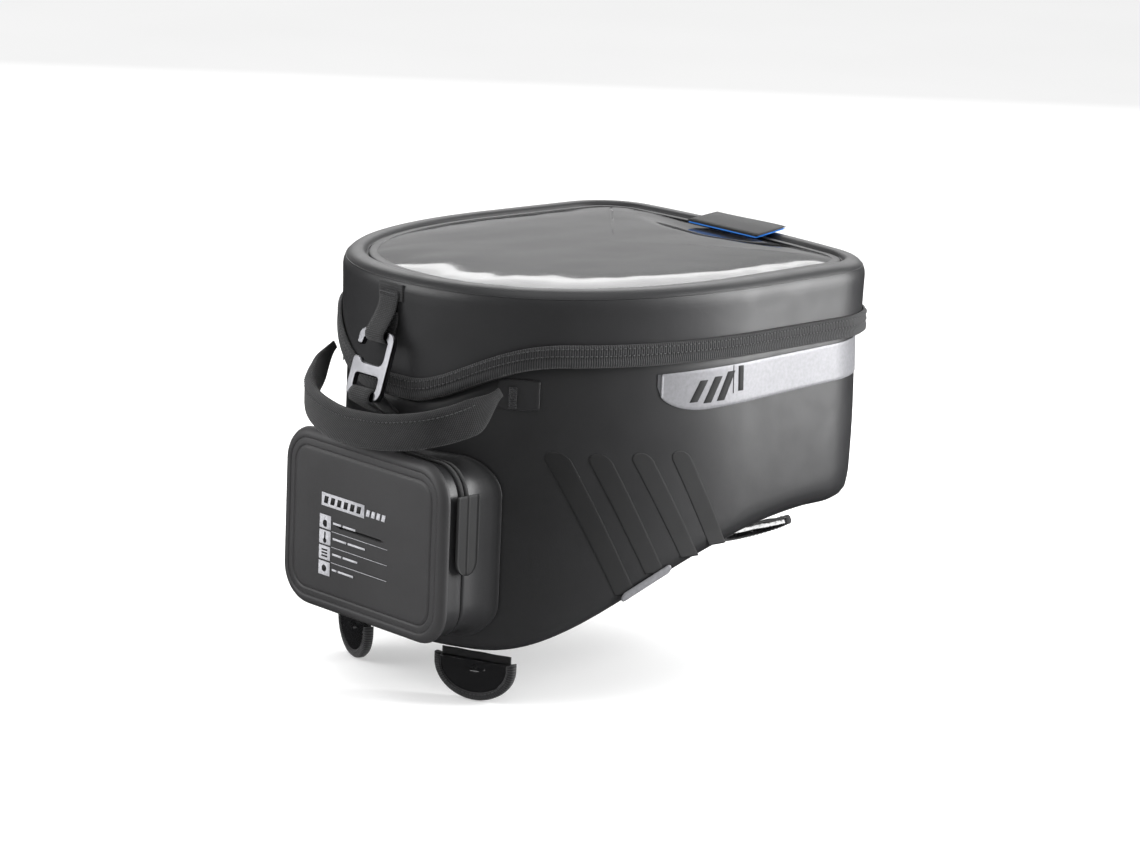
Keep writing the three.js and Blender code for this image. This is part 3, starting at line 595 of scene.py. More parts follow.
def lid_rings():
    rings = to_spine(ring(RIM_WIDTH + 6, DECK_Z - 3), 6)[::-1]
    rings += [ring(RIM_WIDTH + 6, DECK_Z - 3), ring(RIM_WIDTH - 3, DECK_Z - 3)]
    rings += [ring(5, RIM_Z - 15), ring(3.2, RIM_Z - 19)]
    rings += [lerp(ring(3.2, RIM_Z - 19), over_line(3.2, 7), t) for t in (0.3, 0.65, 1)]
    foot, head = over_line(0, 7), ring(0, RIM_Z - RIM_RADIUS)
    rings += [lerp(foot, head, t) for t in np.linspace(0, 1, 10)]
    for a in np.linspace(0, math.pi / 2, 8)[1:]:
        rings.append(ring(RIM_RADIUS * (1 - math.cos(a)) * 0.95, RIM_Z - RIM_RADIUS * (1 - math.sin(a))))
    rings += [ring(13.2, RIM_Z - 0.1), ring(14.6, RIM_Z - 1), ring(15.6, RIM_Z - 2.8), ring(16.4, RIM_Z - 4.4)]
    rings += [ring(RIM_WIDTH + 0.6, DECK_Z), ring(RIM_WIDTH + 6, DECK_Z)]
    return rings + to_spine(ring(RIM_WIDTH + 6, DECK_Z), 6)


def soften_lid(rings):
    """The lid's wall pulls in a little above the binding and swells towards the rim."""
    for points in rings:
        outward = points[:, :2] / np.linalg.norm(points[:, :2], axis=1)[:, None]
        height = np.clip((points[:, 2] - 250) / 40, 0, 1)
        deck = smooth((points[:, 2] - RIM_Z + 20) / 10)
        points[:, :2] -= outward * ((1 - height) * 0.9 * (1 - deck) * (points[:, 2] > 214))[:, None]
    return rings


lid_skin = loft("lid_skin", soften_lid(lid_rings()), "lid", lid_coat)
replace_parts(lid_skin, "lid_shell")

# A weld bead where the wall panel meets the rim, and another where the rim meets the deck.
for name, inset, z, size in (("rim_weld", 1.9, RIM_Z - 5.6, 0.42), ("deck_weld", 16.9, DECK_Z + 0.9, 0.5)):
    bead = [ring(inset + size * c, z + size * s) for c, s in circle(6)]
    loft(name, bead, "lid", lid_coat, wrap=True)


def deck_piece(name, inset, bottom, thickness, paint):
    rings = to_spine(ring(inset + 2, bottom), 4)[::-1] + [ring(inset + 2, bottom), ring(inset, bottom + 0.3)]
    rings += [ring(inset, bottom + thickness - 0.3), ring(inset + 2, bottom + thickness)]
    rings += to_spine(ring(inset + 2, bottom + thickness), 4)
    return loft(name, rings, "lid", paint)


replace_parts(deck_piece("lid_liner", RIM_WIDTH + 8, DECK_Z - 8.6, 5, lining_coat), "lid_foam")
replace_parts(deck_piece("map_back", RIM_WIDTH + 1.6, DECK_Z + 0.3, 0.9, panel), "map_panel")

TAB_Y = cad_box("map_tab")[0][1]


def held_down(x, y):
    """1 where the film is held down beside the tab, fading to 0 away from it."""
    return smooth(1.8 * (1 - np.hypot(x / 88, (y - TAB_Y - 6) / 48)))


def film_height(x, y, depth):
    """The film is crowned over its outer 40 mm and pulled down beside the tab."""
    crown = 5.6 * (1 - np.exp(-depth / 24))
    return DECK_Z + 1.5 + crown * (1 - held_down(x, y))


def film_rings():
    """The film's top: low folds, longer towards the middle and finer near the edge."""
    steps = 22
    depths = [0, 2, 5, 9, 14, 20, 27, 35]
    rings = [ring(RIM_WIDTH + 2 + depth, DECK_Z + 1.5) for depth in depths]
    rings += to_spine(rings[-1], steps)
    depths += [35 + 90 * (i + 1) / steps for i in range(steps)]
    for points, depth in zip(rings, depths):
        points[:, 2] = film_height(points[:, 0], points[:, 1], depth)
        near = math.exp(-depth / 45) * min(1, depth / 6)
        long_folds = ripple(points * (1, 0.45, 1), 38, 3)
        fine_folds = ripple(points * (1, 0.7, 1), 15, 8)
        folds = near * (0.9 * long_folds + 0.32 * fine_folds)
        folds += 0.35 * (1 - near) * long_folds * min(1, depth / 9)
        points[:, 2] += folds * (1 - held_down(points[:, 0], points[:, 1]))
    return rings


rings = film_rings()
under = [points - (0, 0, 0.6) for points in rings]
film_sheet = loft("map_film", under[::-1] + rings, "lid", film)
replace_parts(film_sheet, "map_window")

FILM_FRAME = [(1.2, 0.9), (1.2, 1.5), (1.6, 2.2), (3, 2.6), (6.5, 2.9), (7.6, 2.7), (7.8, 2.2), (6, 1.6), (3, 1.2)]
frame_rings = [ring(RIM_WIDTH + inset, DECK_Z + lift) for inset, lift in FILM_FRAME]
film_frame = loft("film_frame", frame_rings, "lid", lid_coat, wrap=True)
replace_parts(film_frame, "map_window_frame")


# ------------------------------------------------------------ closure round the lid
ZIP_END = 0.8


def outline_section(fractions, section):
    """Sweeps a section of (inset, height over the flap line) pairs along the outline."""
    rings = []
    for fraction in fractions:
        row = []
        for inset, lift in section:
            x, y = plan(fraction, inset)
            row.append((float(x), float(y), float(flap_line(x, y)) + lift))
        rings.append(row)
    return rings


BINDING = [(2.6, 6.5), (3.0, 2), (1.6, -0.4), (-0.9, -1.0), (-2.9, 0.6), (-3.1, 3.5), (-2.2, 5.4), (-2.0, 6.4)]
BINDING += [(-2.5, 8), (-2.5, 12), (-1.7, BINDING_HEIGHT - 0.4), (-0.2, BINDING_HEIGHT), (0.3, 11)]
binding = strip("edge_binding", outline_section(np.linspace(-ZIP_END, ZIP_END, 330), BINDING), "lid", ribbon)
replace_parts(binding, "lid_binding")


def along_binding(inset, lift, count=700):
    x, y = plan(np.linspace(-ZIP_END, ZIP_END, count), inset)
    line = np.stack([x, y, flap_line(x, y) + lift], -1)
    out = np.stack([*plan(np.linspace(-ZIP_END, ZIP_END, count), inset - 1)], -1) - line[:, :2]
    return line, np.hstack([out, np.zeros((count, 1))])


for name, lift in (("binding_stitches_upper", 12.6), ("binding_stitches_lower", 7.6)):
    line, normals = along_binding(-2.5, lift)
    stitches(name, line, normals, 3.4, "lid", thread, 0.4)

for node, rows, body in (("upper_zip_tape", (4.6, 15), "lid"), ("lower_zip_tape", (-1, 3.4), "body")):
    low, high = rows
    section = [(4.7, low), (4.7, high), (3.6, high), (3.3, (low + high) / 2), (3.6, low)]
    piece = strip(node + "_skin", outline_section(np.linspace(-ZIP_END, ZIP_END, 220), section), body, zip_tape)
    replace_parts(piece, node)


def zip_teeth(name, lift, side, body):
    """Moulded teeth standing on the edge of a zip tape."""
    points, faces = [], []
    for fraction in np.linspace(-ZIP_END + 0.004, ZIP_END - 0.004, 300):
        x, y = plan(fraction, 4.2)
        x2, y2 = plan(fraction + 0.0006, 4.2)
        along = np.array([x2 - x, y2 - y, 0]) / math.hypot(x2 - x, y2 - y)
        out = np.array([along[1], -along[0], 0])
        base = np.array([x, y, float(flap_line(x, y)) + lift])
        start = len(points)
        for rise, size in ((0, 0.75), (0.7, 0.6), (1.1, 0.85), (1.5, 0.45)):
            for a, b in ((-1, -1), (1, -1), (1, 1), (-1, 1)):
                points.append(base + along * a * size * 0.75 + out * b * size + np.array([0, 0, side * (rise - 1.3)]))
        faces += tube_faces(start, 4, 4)
    return make(name, points, faces, body, zip_coat, merge=0.0001)


zip_teeth("zip_teeth_upper", 4.3, -1, "lid")
zip_teeth("zip_teeth_lower", 3.7, 1, "body")

# The folded fabric that the lid turns on bends between body and lid.
hinge_fractions = np.linspace(ZIP_END + 0.012, 2 - ZIP_END - 0.012, 60)
HINGE_Z = cad_box("rear_hinge_strip")[1][2]
hinge_rows = []
for rise, inset in ((-9, 3.9), (-5, 3.2), (-2, 2.0), (0, 0.9), (2, 0.2), (5, 0.1), (9, 0.3)):
    x, y = plan(hinge_fractions, inset - 0.9)
    hinge_rows.append(np.stack([x, y, np.full(len(x), HINGE_Z + rise)], -1))
inward = np.subtract(plan(hinge_fractions, 1.0), plan(hinge_fractions, 0))
inward = np.stack([*inward, np.zeros(len(hinge_fractions))], -1)
inner_rows = [row + inward for row in hinge_rows]
sections = np.array(hinge_rows + inner_rows[::-1]).transpose(1, 0, 2)
hinge = strip("rear_hinge_fold", sections, None, skin)
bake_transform(hinge)
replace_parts(hinge, "rear_hinge_strip")


# ------------------------------------------------------------ sliders and pulls
def rounded_block(name, node, body, paint, ridged=False):
    """A moulded piece filling a CAD node's box: rounded, waisted and ridged across its height."""
    low, high = cad_box(node)
    middle, size = (low + high) / 2, (high - low) / 2
    rings = []
    levels = 14
    for i in range(levels + 1):
        t = i / levels
        z = middle[2] + size[2] * math.cos(math.pi * t)
        ball = math.sin(math.pi * t) ** 0.35 if 0 < t < 1 else 0.12
        swell = 1 - 0.12 * (i % 2) * ridged * (0.25 < t < 0.8)
        angles = np.linspace(0, 2 * math.pi, 24, endpoint=False)
        c, s = np.cos(angles), np.sin(angles)
        square = (np.abs(c) ** 4 + np.abs(s) ** 4) ** -0.25
        x = middle[0] + size[0] * ball * square * c * swell
        y = middle[1] + size[1] * ball * square * s * swell
        rings.append(np.stack([x, y, np.full(24, z)], -1))
    piece = loft(name, rings, body, paint, ends=True)
    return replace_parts(piece, node)


for where in ("main", "pocket"):
    rounded_block(f"{where}_slider_body", f"{where}_zip_slider", f"{where}_slider", zip_coat)
    rounded_block(f"{where}_pull_cord", f"{where}_zip_pull", f"{where}_pull", tape, ridged=True)


# ------------------------------------------------------------ hook closure
PIVOT_Y, PIVOT_Z, LEAN = -178.25, 213, math.radians(17)


def on_hook(across, up, out):
    """From the hook's own plane, up from its lower bar, to the frame."""
    y = PIVOT_Y + up * math.sin(LEAN) - out * math.cos(LEAN)
    return across, y, PIVOT_Z + up * math.cos(LEAN) + out * math.sin(LEAN)


def rounded_outline(corners, steps=6):
    """A closed outline through corners given as (x, y, radius)."""
    points = []
    for i, (x, y, radius) in enumerate(corners):
        here = np.array([x, y], float)
        back = np.array(corners[i - 1][:2], float) - here
        ahead = np.array(corners[(i + 1) % len(corners)][:2], float) - here
        start = here + back / np.linalg.norm(back) * min(radius, 0.48 * np.linalg.norm(back))
        end = here + ahead / np.linalg.norm(ahead) * min(radius, 0.48 * np.linalg.norm(ahead))
        points += bezier([start, here, end], steps).tolist() if radius else [here.tolist()]
    return points


def cast_plate(name, outlines, thickness, soft):
    """A plate with rounded edges, from a filled curve with holes."""
    curve = bpy.data.curves.new(name, "CURVE")
    curve.dimensions = "2D"
    curve.fill_mode = "BOTH"
    curve.extrude = (thickness / 2 - soft) * MM
    curve.bevel_depth = soft * MM
    curve.bevel_resolution = 4
    curve.offset = -soft * MM
    for outline in outlines:
        spline = curve.splines.new("POLY")
        spline.points.add(len(outline) - 1)
        for point, (x, y) in zip(spline.points, outline):
            point.co = (x * MM, y * MM, 0, 1)
        spline.use_cyclic_u = True
    holder = bpy.data.objects.new(name, curve)
    bpy.context.scene.collection.objects.link(holder)
    mesh = bpy.data.meshes.new_from_object(holder)
    bpy.data.objects.remove(holder)
    obj = bpy.data.objects.new(name, mesh)
    bpy.context.scene.collection.objects.link(obj)
    return obj


HOOK_OUTLINE = [
    (-19, -3, 9), (19, -3, 9), (19, 47, 9), (-19, 47, 10), (-19, 34, 2), (-13.2, 34, 2), (-12.2, 40.4, 3),
    (12.2, 40.4, 3), (12.2, 22.5, 5), (-9, 22.5, 3), (-12, 26, 2), (-19, 26, 3),
]
HOOK_SLOT = [(-12, 4, 2.5), (-12, 14, 2.5), (12, 14, 2.5), (12, 4, 2.5)]
g_hook = cast_plate("hook_plate", [rounded_outline(HOOK_OUTLINE), rounded_outline(HOOK_SLOT)], 4.2, 1.2)
for vertex in g_hook.data.vertices:
    x, up, out = vertex.co / MM
    vertex.co = Vector(on_hook(x, up, out)) * MM
work = bmesh.new()
work.from_mesh(g_hook.data)
bmesh.ops.remove_doubles(work, verts=work.verts, dist=0.00001)
bmesh.ops.recalc_face_normals(work, faces=work.faces)
work.to_mesh(g_hook.data)
work.free()
g_hook.data.polygons.foreach_set("use_smooth", [True] * len(g_hook.data.polygons))
g_hook.data.materials.append(metal.material)
shading = g_hook.modifiers.new("even", "WEIGHTED_NORMAL")
shading.keep_sharp = False
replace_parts(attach(g_hook, "hook"), "g_hook")


def webbing_loop(name, path, width, thickness, body, paint, count=70):
    """A flat strap centred on X = 0 whose side view follows path; its edges are thin and rounded."""
    line = catmull(path, count)
    over = [(-0.93, 0.9), (-0.5, 1), (0, 1), (0.5, 1), (0.93, 0.9)]
    section = [(-1, 0), *over, (1, 0), *[(across, -off) for across, off in over[::-1]]]
    sections = []
    for (y, z), (ty, tz) in zip(line, directions(line)):
        row = []
        for across, off in section:
            lift = off * thickness / 2
            row.append((across * width / 2, y - tz * lift, z + ty * lift))
        sections.append(row)
    return strip(name, sections, body, paint)


def round_bar(up, first, last, count, radius=5.0):
    points = []
    for degrees in np.linspace(first, last, count):
        a = math.radians(degrees)
        points.append(on_hook(0, up + radius * math.sin(a), radius * math.cos(a))[1:])
    return points


TOP_BAR = 44
loop_path = [(NOSE_Y - 0.9, 285), (NOSE_Y - 2.2, 279), (NOSE_Y - 4.6, 271), *round_bar(TOP_BAR, 25, -150, 8)]
loop_path += [(NOSE_Y - 1.9, 262), (NOSE_Y - 1.2, 271)]
loop = webbing_loop("hook_loop_webbing", loop_path, 20, 1.6, "lid", tape)
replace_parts(loop, "hook_loop")

body_wall_y = float(wall_y(0, 0))
strap_path = [(body_wall_y - 1.2, 184), (body_wall_y - 2.2, 197), (PIVOT_Y + 15, PIVOT_Z - 6)]
strap_path += [(PIVOT_Y + 8, PIVOT_Z + 1), *round_bar(0, 150, -80, 8, 4.9)]
strap_path += [(PIVOT_Y + 9, PIVOT_Z - 11), (PIVOT_Y + 13, PIVOT_Z - 13)]
strap = webbing_loop("hook_strap_webbing", strap_path, 23, 1.6, "body", tape)
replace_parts(strap, "hook_strap")


def bar_tack(name, centre, across, up, width, height, rows, body):
    """Rows of close stitches that fasten a strap."""
    centre, across, up = (np.array(v, float) for v in (centre, across, up))
    normal = np.cross(across, up)
    steps = rows * 7
    line = []
    for i in range(steps):
        zigzag = 0.5 - i % 2
        line.append(centre + across * (i / (steps - 1) - 0.5) * width + up * zigzag * height + normal * 0.25)
    return stitches(name, line, [normal] * steps, 1.5, body, thread, 0.42, 0.95)


def tack_at(name, y, z, width, height, body, rows=4):
    bar_tack(name, (0, y, z), (1, 0, 0), (0, 0, 1), width, height, rows, body)


tack_at("loop_tack", NOSE_Y - 1.9, 284, 19, 4.5, "lid")
tack_at("strap_tack", body_wall_y - 2.6, 190, 20, 5, "body")


def slit_patch(u, v, lift):
    """The small dark patch on the lid's wall that the loop is sewn through."""
    x = lerp(-13, 13, u)
    y = plan(at_x(x), -0.15 - lift)[1]
    return np.stack([x, y, lerp(279, 291, v)], -1)


patch("loop_patch", slit_patch, 16, 8, 0.8, "lid", tape)


# ------------------------------------------------------------ carry handle
HANDLE_PATH = [(-90.5, -129, 223.5), (-88, -141, 216), (-80, -156, 208), (-62, -175.5, 200)]
HANDLE_PATH += [(-34, -187, 194.5), (0, -191, 192.5)]
HANDLE_PATH += [(-x, y, z) for x, y, z in HANDLE_PATH[-2::-1]]


def handle_sections(path, height, thickness, count=150, taper=0.11):
    """A soft folded strap: tapered ends, a padded middle, and a bead over a seam along its outer face."""
    line = catmull(path, count)
    sections = []
    for point, direction, t in zip(line, directions(line), np.linspace(0, 1, count)):
        outward = np.array([direction[1], -direction[0], 0])
        outward /= np.linalg.norm(outward)
        up = np.cross(outward, direction)
        end = smooth(min(t, 1 - t) / taper)
        full = smooth(min(t, 1 - t) / 0.2)
        tall, thick = lerp(7, height, end), lerp(2.6, thickness, full)
        centre = point + up * (height - tall) / 2 * 0.45
        row = []
        for c, s in circle(28):
            square = (abs(c) ** 3.2 + abs(s) ** 3.2) ** (-1 / 3.2)
            bead = 0.75 * math.exp(-((c * square - 0.78) / 0.13) ** 2) * (s > 0)
            seam = -0.5 * math.exp(-((c * square - 0.56) / 0.07) ** 2) * (s > 0)
            out = s * square * thick / 2 + (bead + seam) * full
            row.append(centre + up * c * square * tall / 2 + outward * out)
        sections.append(row)
    return sections


handle_rows = np.array(handle_sections(HANDLE_PATH, 26, 8.5))
for station in handle_rows:
    wobble = ripple(station, 26, 5)[:, None]
    station += (station - station.mean(0)) * 0.05 * wobble
handle = strip("handle_pad", handle_rows, "handle", twill)
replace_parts(handle, "carry_handle")
seam_line = handle_rows[12:-12, 4] * 0.55 + handle_rows[12:-12, 5] * 0.45
seam_out = handle_rows[12:-12, 5] - handle_rows[12:-12].mean(1)
seam_out[:, 2] = 0
seam_line += seam_out / np.linalg.norm(seam_out, axis=1)[:, None] * 0.3
stitches("handle_stitches", seam_line, seam_out, 3.2, "handle", thread, 0.34)

ANCHOR_X = 92.5
for side, sign in SIDES.items():
    middle = at_x(ANCHOR_X)

    def anchor(u, v, lift, sign=sign, middle=middle):
        fraction = sign * (middle + lerp(-0.018, 0.036, u))
        corner = 1 - 0.12 * np.abs(2 * u - 1) ** 4
        return wall(fraction, 224 + lerp(-11, 11, v) * corner, 0.3 + lift)

    piece = patch(f"handle_anchor_{side}", anchor, 18, 14, 1.0, "body", skin)
    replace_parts(piece, f"handle_end_{side}")
    tack_x, tack_y = plan(sign * (middle + 0.002), BODY_INSET - 2.2)
    x2, y2 = plan(sign * (middle + 0.003), BODY_INSET - 2.2)
    across = np.array([float(x2 - tack_x), float(y2 - tack_y), 0]) * sign
    across /= np.linalg.norm(across)
    bar_tack(f"handle_tack_{side}", (tack_x, tack_y, 222), across, (0, 0, 1), 5, 15, 3, "body")


# ------------------------------------------------------------ front pocket
def pocket_ring(inset, depth, count=160):
    """A rounded rectangle in X and Z; depth is a number or a function of X."""
    half_w, half_h = POCKET_HALF_WIDTH - inset, POCKET_HALF_HEIGHT - inset
    corner = max(2, min(POCKET_CORNER - inset, half_w - 1, half_h - 1))
    c = 0.45 * corner
    top = bezier([(0, half_h), (half_w - corner, half_h)], 30)
    turn_end = (half_w, half_h - corner)
    turn = bezier([(half_w - corner, half_h), (half_w - c, half_h), (half_w, half_h - c), turn_end], 30)
    side = bezier([turn_end, (half_w, 0)], 20)
    quarter = np.vstack([top, turn[1:], side[1:]])
    right = np.vstack([quarter, quarter[-2::-1] * (1, -1)])
    outline = resample(np.vstack([right, right[-2::-1] * (-1, 1)]), count + 1)[:-1]
    y = depth(outline[:, 0]) if callable(depth) else np.full(count, float(depth))
    return np.stack([outline[:, 0], y, POCKET_MIDDLE_Z + outline[:, 1]], -1)


def pocket_rings(*pairs):
    return [pocket_ring(inset, depth) for inset, depth in pairs]


def flat_fill(inset, depth, steps=6):
    """Rings from the given inset in to a line across the pocket's middle."""
    deepest = POCKET_HALF_HEIGHT - 1
    return [pocket_ring(lerp(inset, deepest, t), depth) for t in np.linspace(0, 1, steps + 1)[1:]]


def on_wall(lift):
    return lambda x: wall_y(x, lift)


def tray_depth(t):
    """The side wall's depth from the zip, at 0, back to the flange, at 1."""
    return lambda x: lerp(np.full(len(x), POCKET_ZIP_Y), np.maximum(wall_y(x, 3.4), POCKET_ZIP_Y + 0.6), t)


def tray_floor(x):
    return np.maximum(wall_y(x, 2.7), POCKET_ZIP_Y + 0.3)


tray_rings = flat_fill(8, on_wall(0.9))[::-1]
tray_rings += pocket_rings((8, on_wall(0.9)), (0.6, on_wall(0.7)), (-0.2, on_wall(1.2)))
tray_rings += pocket_rings((-0.2, on_wall(2.2)), (0.8, on_wall(3.0)))
for t in np.linspace(1, 0, 9):
    hollow = 3.6 + 2.2 * math.sin(math.pi * t) - 2.2 * t
    tray_rings.append(pocket_ring(hollow, tray_depth(t)))
tray_rings += pocket_rings((4.8, POCKET_ZIP_Y - 0.1), (5.8, POCKET_ZIP_Y), (8, tray_floor))
tray_rings += flat_fill(8, tray_floor)
tray = loft("pocket_tray_skin", tray_rings, "body", skin)
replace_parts(tray, "pocket_tray")

BACK_Y, FRONT_Y = POCKET_ZIP_Y - 0.4, POCKET_FACE_Y
cover_rings = flat_fill(30, FRONT_Y + 1.8)[::-1]
cover_rings += pocket_rings((30, FRONT_Y + 1.8), (6, FRONT_Y + 1.8), (4.8, FRONT_Y + 4), (4.8, BACK_Y))
cover_rings += pocket_rings((3.9, BACK_Y - 0.1), (3.3, BACK_Y - 1), (3.6, BACK_Y - 5), (2.8, FRONT_Y + 7))
cover_rings += pocket_rings((2.4, FRONT_Y + 3), (5, FRONT_Y + 0.4), (30, FRONT_Y + 0.2))
cover_rings += flat_fill(30, FRONT_Y + 0.2)
cover = loft("pocket_cover_skin", cover_rings, "pocket_cover", skin)
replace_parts(cover, "pocket_cover")

bead = [pocket_ring(4.2 - 4.0 * c, FRONT_Y + 1.6 - 3.3 * s + 1.8 * c) for c, s in circle(16)]
rim = loft("pocket_rim_bead", bead, "pocket_cover", lit_pocket_coat, wrap=True)
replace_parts(rim, "pocket_rim")

# The face is a soft crowned panel, welded down along a line 13 mm inside its edge.
FACE_PROFILE = [(8, 1.1), (9.5, 1.5), (11.5, 1.75), (12.6, 1.7), (13.0, 1.05), (13.5, 1.05), (13.9, 1.75), (16, 2.0)]
FACE_PROFILE += [(inset, 2.0 + 0.012 * (inset - 16)) for inset in np.linspace(20, POCKET_HALF_HEIGHT - 1, 14)]
face_rings = flat_fill(20, FRONT_Y - 0.4)[::-1]
face_rings += pocket_rings((8.5, FRONT_Y - 0.4), (7.4, FRONT_Y - 0.9))
face_rings += pocket_rings(*[(inset, FRONT_Y - rise) for inset, rise in FACE_PROFILE])
face_rings = np.array(face_rings)
outer = face_rings[8:]
outer[..., 1] += 0.22 * ripple(outer.reshape(-1, 3), 34, 11).reshape(outer.shape[:2])
face = loft("pocket_face_skin", face_rings, "pocket_cover", lit_pocket_coat)
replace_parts(face, "pocket_face_panel")


def zip_band(name, body, near, far, inset):
    """The zip's flush tape over the pocket's top, from one garage to the other."""
    count = 200
    corners = ((inset, near), (inset - 0.7, near), (inset - 0.7, far), (inset, far))
    whole = np.array([pocket_ring(i, y, count) for i, y in corners])
    half_way = np.roll(whole, count // 2, 1)
    sections = half_way[:, half_way[0, :, 2] > POCKET_MIDDLE_Z + 4].transpose(1, 0, 2)
    return strip(name, sections, body, zip_tape)


zip_band("pocket_zip_front", "pocket_cover", BACK_Y - 4.4, BACK_Y - 0.3, 3.4)
zip_band("pocket_zip_back", "body", POCKET_ZIP_Y + 0.3, POCKET_ZIP_Y + 3.6, 3.6)

GARAGE_FOOT, GARAGE_HEAD, GARAGE_HALF = 100, 157, 10.5
for side, sign in SIDES.items():
    x = sign * (POCKET_HALF_WIDTH + 0.5)

    def garage(u, v, lift, sign=sign, x=x):
        z = lerp(GARAGE_FOOT, GARAGE_HEAD, v)
        width = GARAGE_HALF * round_end(z - GARAGE_FOOT, GARAGE_HALF)
        across = (u - 0.5) * 2
        ridge = 0.7 * np.exp(-((np.abs(across) - 0.86) / 0.07) ** 2) + 0.5 * np.exp(-((across / 0.06) ** 2))
        return np.stack([x + sign * lift * (0.6 + ridge), POCKET_ZIP_Y + across * width, z], -1)

    piece = patch(f"zip_garage_{side}", garage, 41, 30, 1.0, "body", dark_coat)
    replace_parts(piece, f"pocket_zip_garage_{side}")

# A strip of fabric inside the lower edge joins the cover to the tray.
GUSSET = [(-58, 0), (-20, 0), (20, 0), (58, 0), (58, 1), (20, 1), (-20, 1), (-58, 1)]
gusset_z = cad_box("pocket_tray")[0][2] + 5.6
gusset_rows = [[(x, y, gusset_z + lift) for x, lift in GUSSET] for y in np.linspace(POCKET_ZIP_Y + 4, BACK_Y - 5, 9)]
gusset = strip("pocket_gusset", gusset_rows, None, dark_coat)
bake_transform(gusset)


# ------------------------------------------------------------ prints on the pocket's face
MARK_LIFT = 0.14


def ink(outline_points, lift=0.0):
    """A flat print on the pocket's face, from an outline in X and Z."""
    y = FRONT_Y - 2.75 - lift
    points = [(x, y, z) for x, z in outline_points] + [(x, y - 0.12, z) for x, z in outline_points]
    n = len(outline_points)
    faces = [tuple(range(n)), tuple(range(n, 2 * n))]
    faces += [(i, (i + 1) % n, n + (i + 1) % n, n + i) for i in range(n)]
    return points, faces


def merged(name, parts, body, paint):
    points, faces = [], []
    for part_points, part_faces in parts:
        faces += [tuple(i + len(points) for i in f) for f in part_faces]
        points += list(part_points)
    return make(name, points, faces, body, paint, merge=0.0001)


def bar(x, z, width, height, slant=0.0):
    return [(x, z), (x + width, z), (x + width + slant, z + height), (x + slant, z + height)]


def disc(x, z, radius, count=20):
    return [(x + radius * c, z + radius * s) for c, s in circle(count)]


LABEL_LEFT, TILE, TILE_STEP = -44.4, 12.4, 11.3
TILE_MIDDLE_X = LABEL_LEFT + TILE / 2
WORD_WIDTHS = ((9, 14), (15, 19), (10, 16), (5, 17))


def sign_marks(row, z):
    """A simple sign for each tile: a drop, a bulb, three lines and a disc."""
    if row == 0:
        round_end = disc(TILE_MIDDLE_X, z - 1.2, 2.6, 16)
        tip = [(TILE_MIDDLE_X, z + 4)]
        return [(tip + round_end[2:7][::-1] + round_end[7:15][::-1])[::-1]]
    if row == 1:
        return [bar(TILE_MIDDLE_X - 0.7, z - 2, 1.4, 6), disc(TILE_MIDDLE_X, z - 2.4, 1.8)]
    if row == 2:
        return [bar(TILE_MIDDLE_X - 3.2, z - 3 + 2.3 * i, 6.4, 1.2) for i in range(3)]
    return [disc(TILE_MIDDLE_X, z, 2.5)]


pale = [ink(bar(LABEL_LEFT + 1.6, 125.5, 47, 9.5))]
pale += [ink(bar(6 + 5.6 * i, 127.6, 3.6, 4.8, 1.0)) for i in range(4)]
dark = [ink(bar(LABEL_LEFT + 4 + 7.2 * i, 127.6, 4.2, 5.2, 1.2), MARK_LIFT) for i in range(6)]
for row, (first, second) in enumerate(WORD_WIDTHS):
    foot = 119.5 - (row + 1) * TILE_STEP + 0.9
    middle = foot + (TILE_STEP - 1.3) / 2
    pale.append(ink(bar(LABEL_LEFT, foot, TILE, TILE_STEP - 1.3)))
    pale.append(ink(bar(-29.5, middle - 0.2, first, 1.5)))
    pale.append(ink(bar(-27.9 + first, middle - 0.2, second, 1.5)))
    dark += [ink(mark, MARK_LIFT) for mark in sign_marks(row, middle)]
    if row:
        pale.append(ink(bar(-30.8, foot + TILE_STEP - 0.9, 61, 0.35)))
merged("label_print", pale, "pocket_cover", print_ink)
merged("label_marks", dark, "pocket_cover", matte)


# ------------------------------------------------------------ relief and reflective prints on the walls
STRIP_START = float(at_y(-32.25))
# Y and Z of each relief stripe's head, then of its foot.
STRIPES = [
    (-101.25, 184.6, -49.25, 80),
    (-74.25, 182.8, -27.25, 94),
    (-44.25, 182.2, 1.75, 103),
    (-13.25, 181.3, 26.75, 109),
]
REFLECTOR_START, REFLECTOR_END = -53, -15
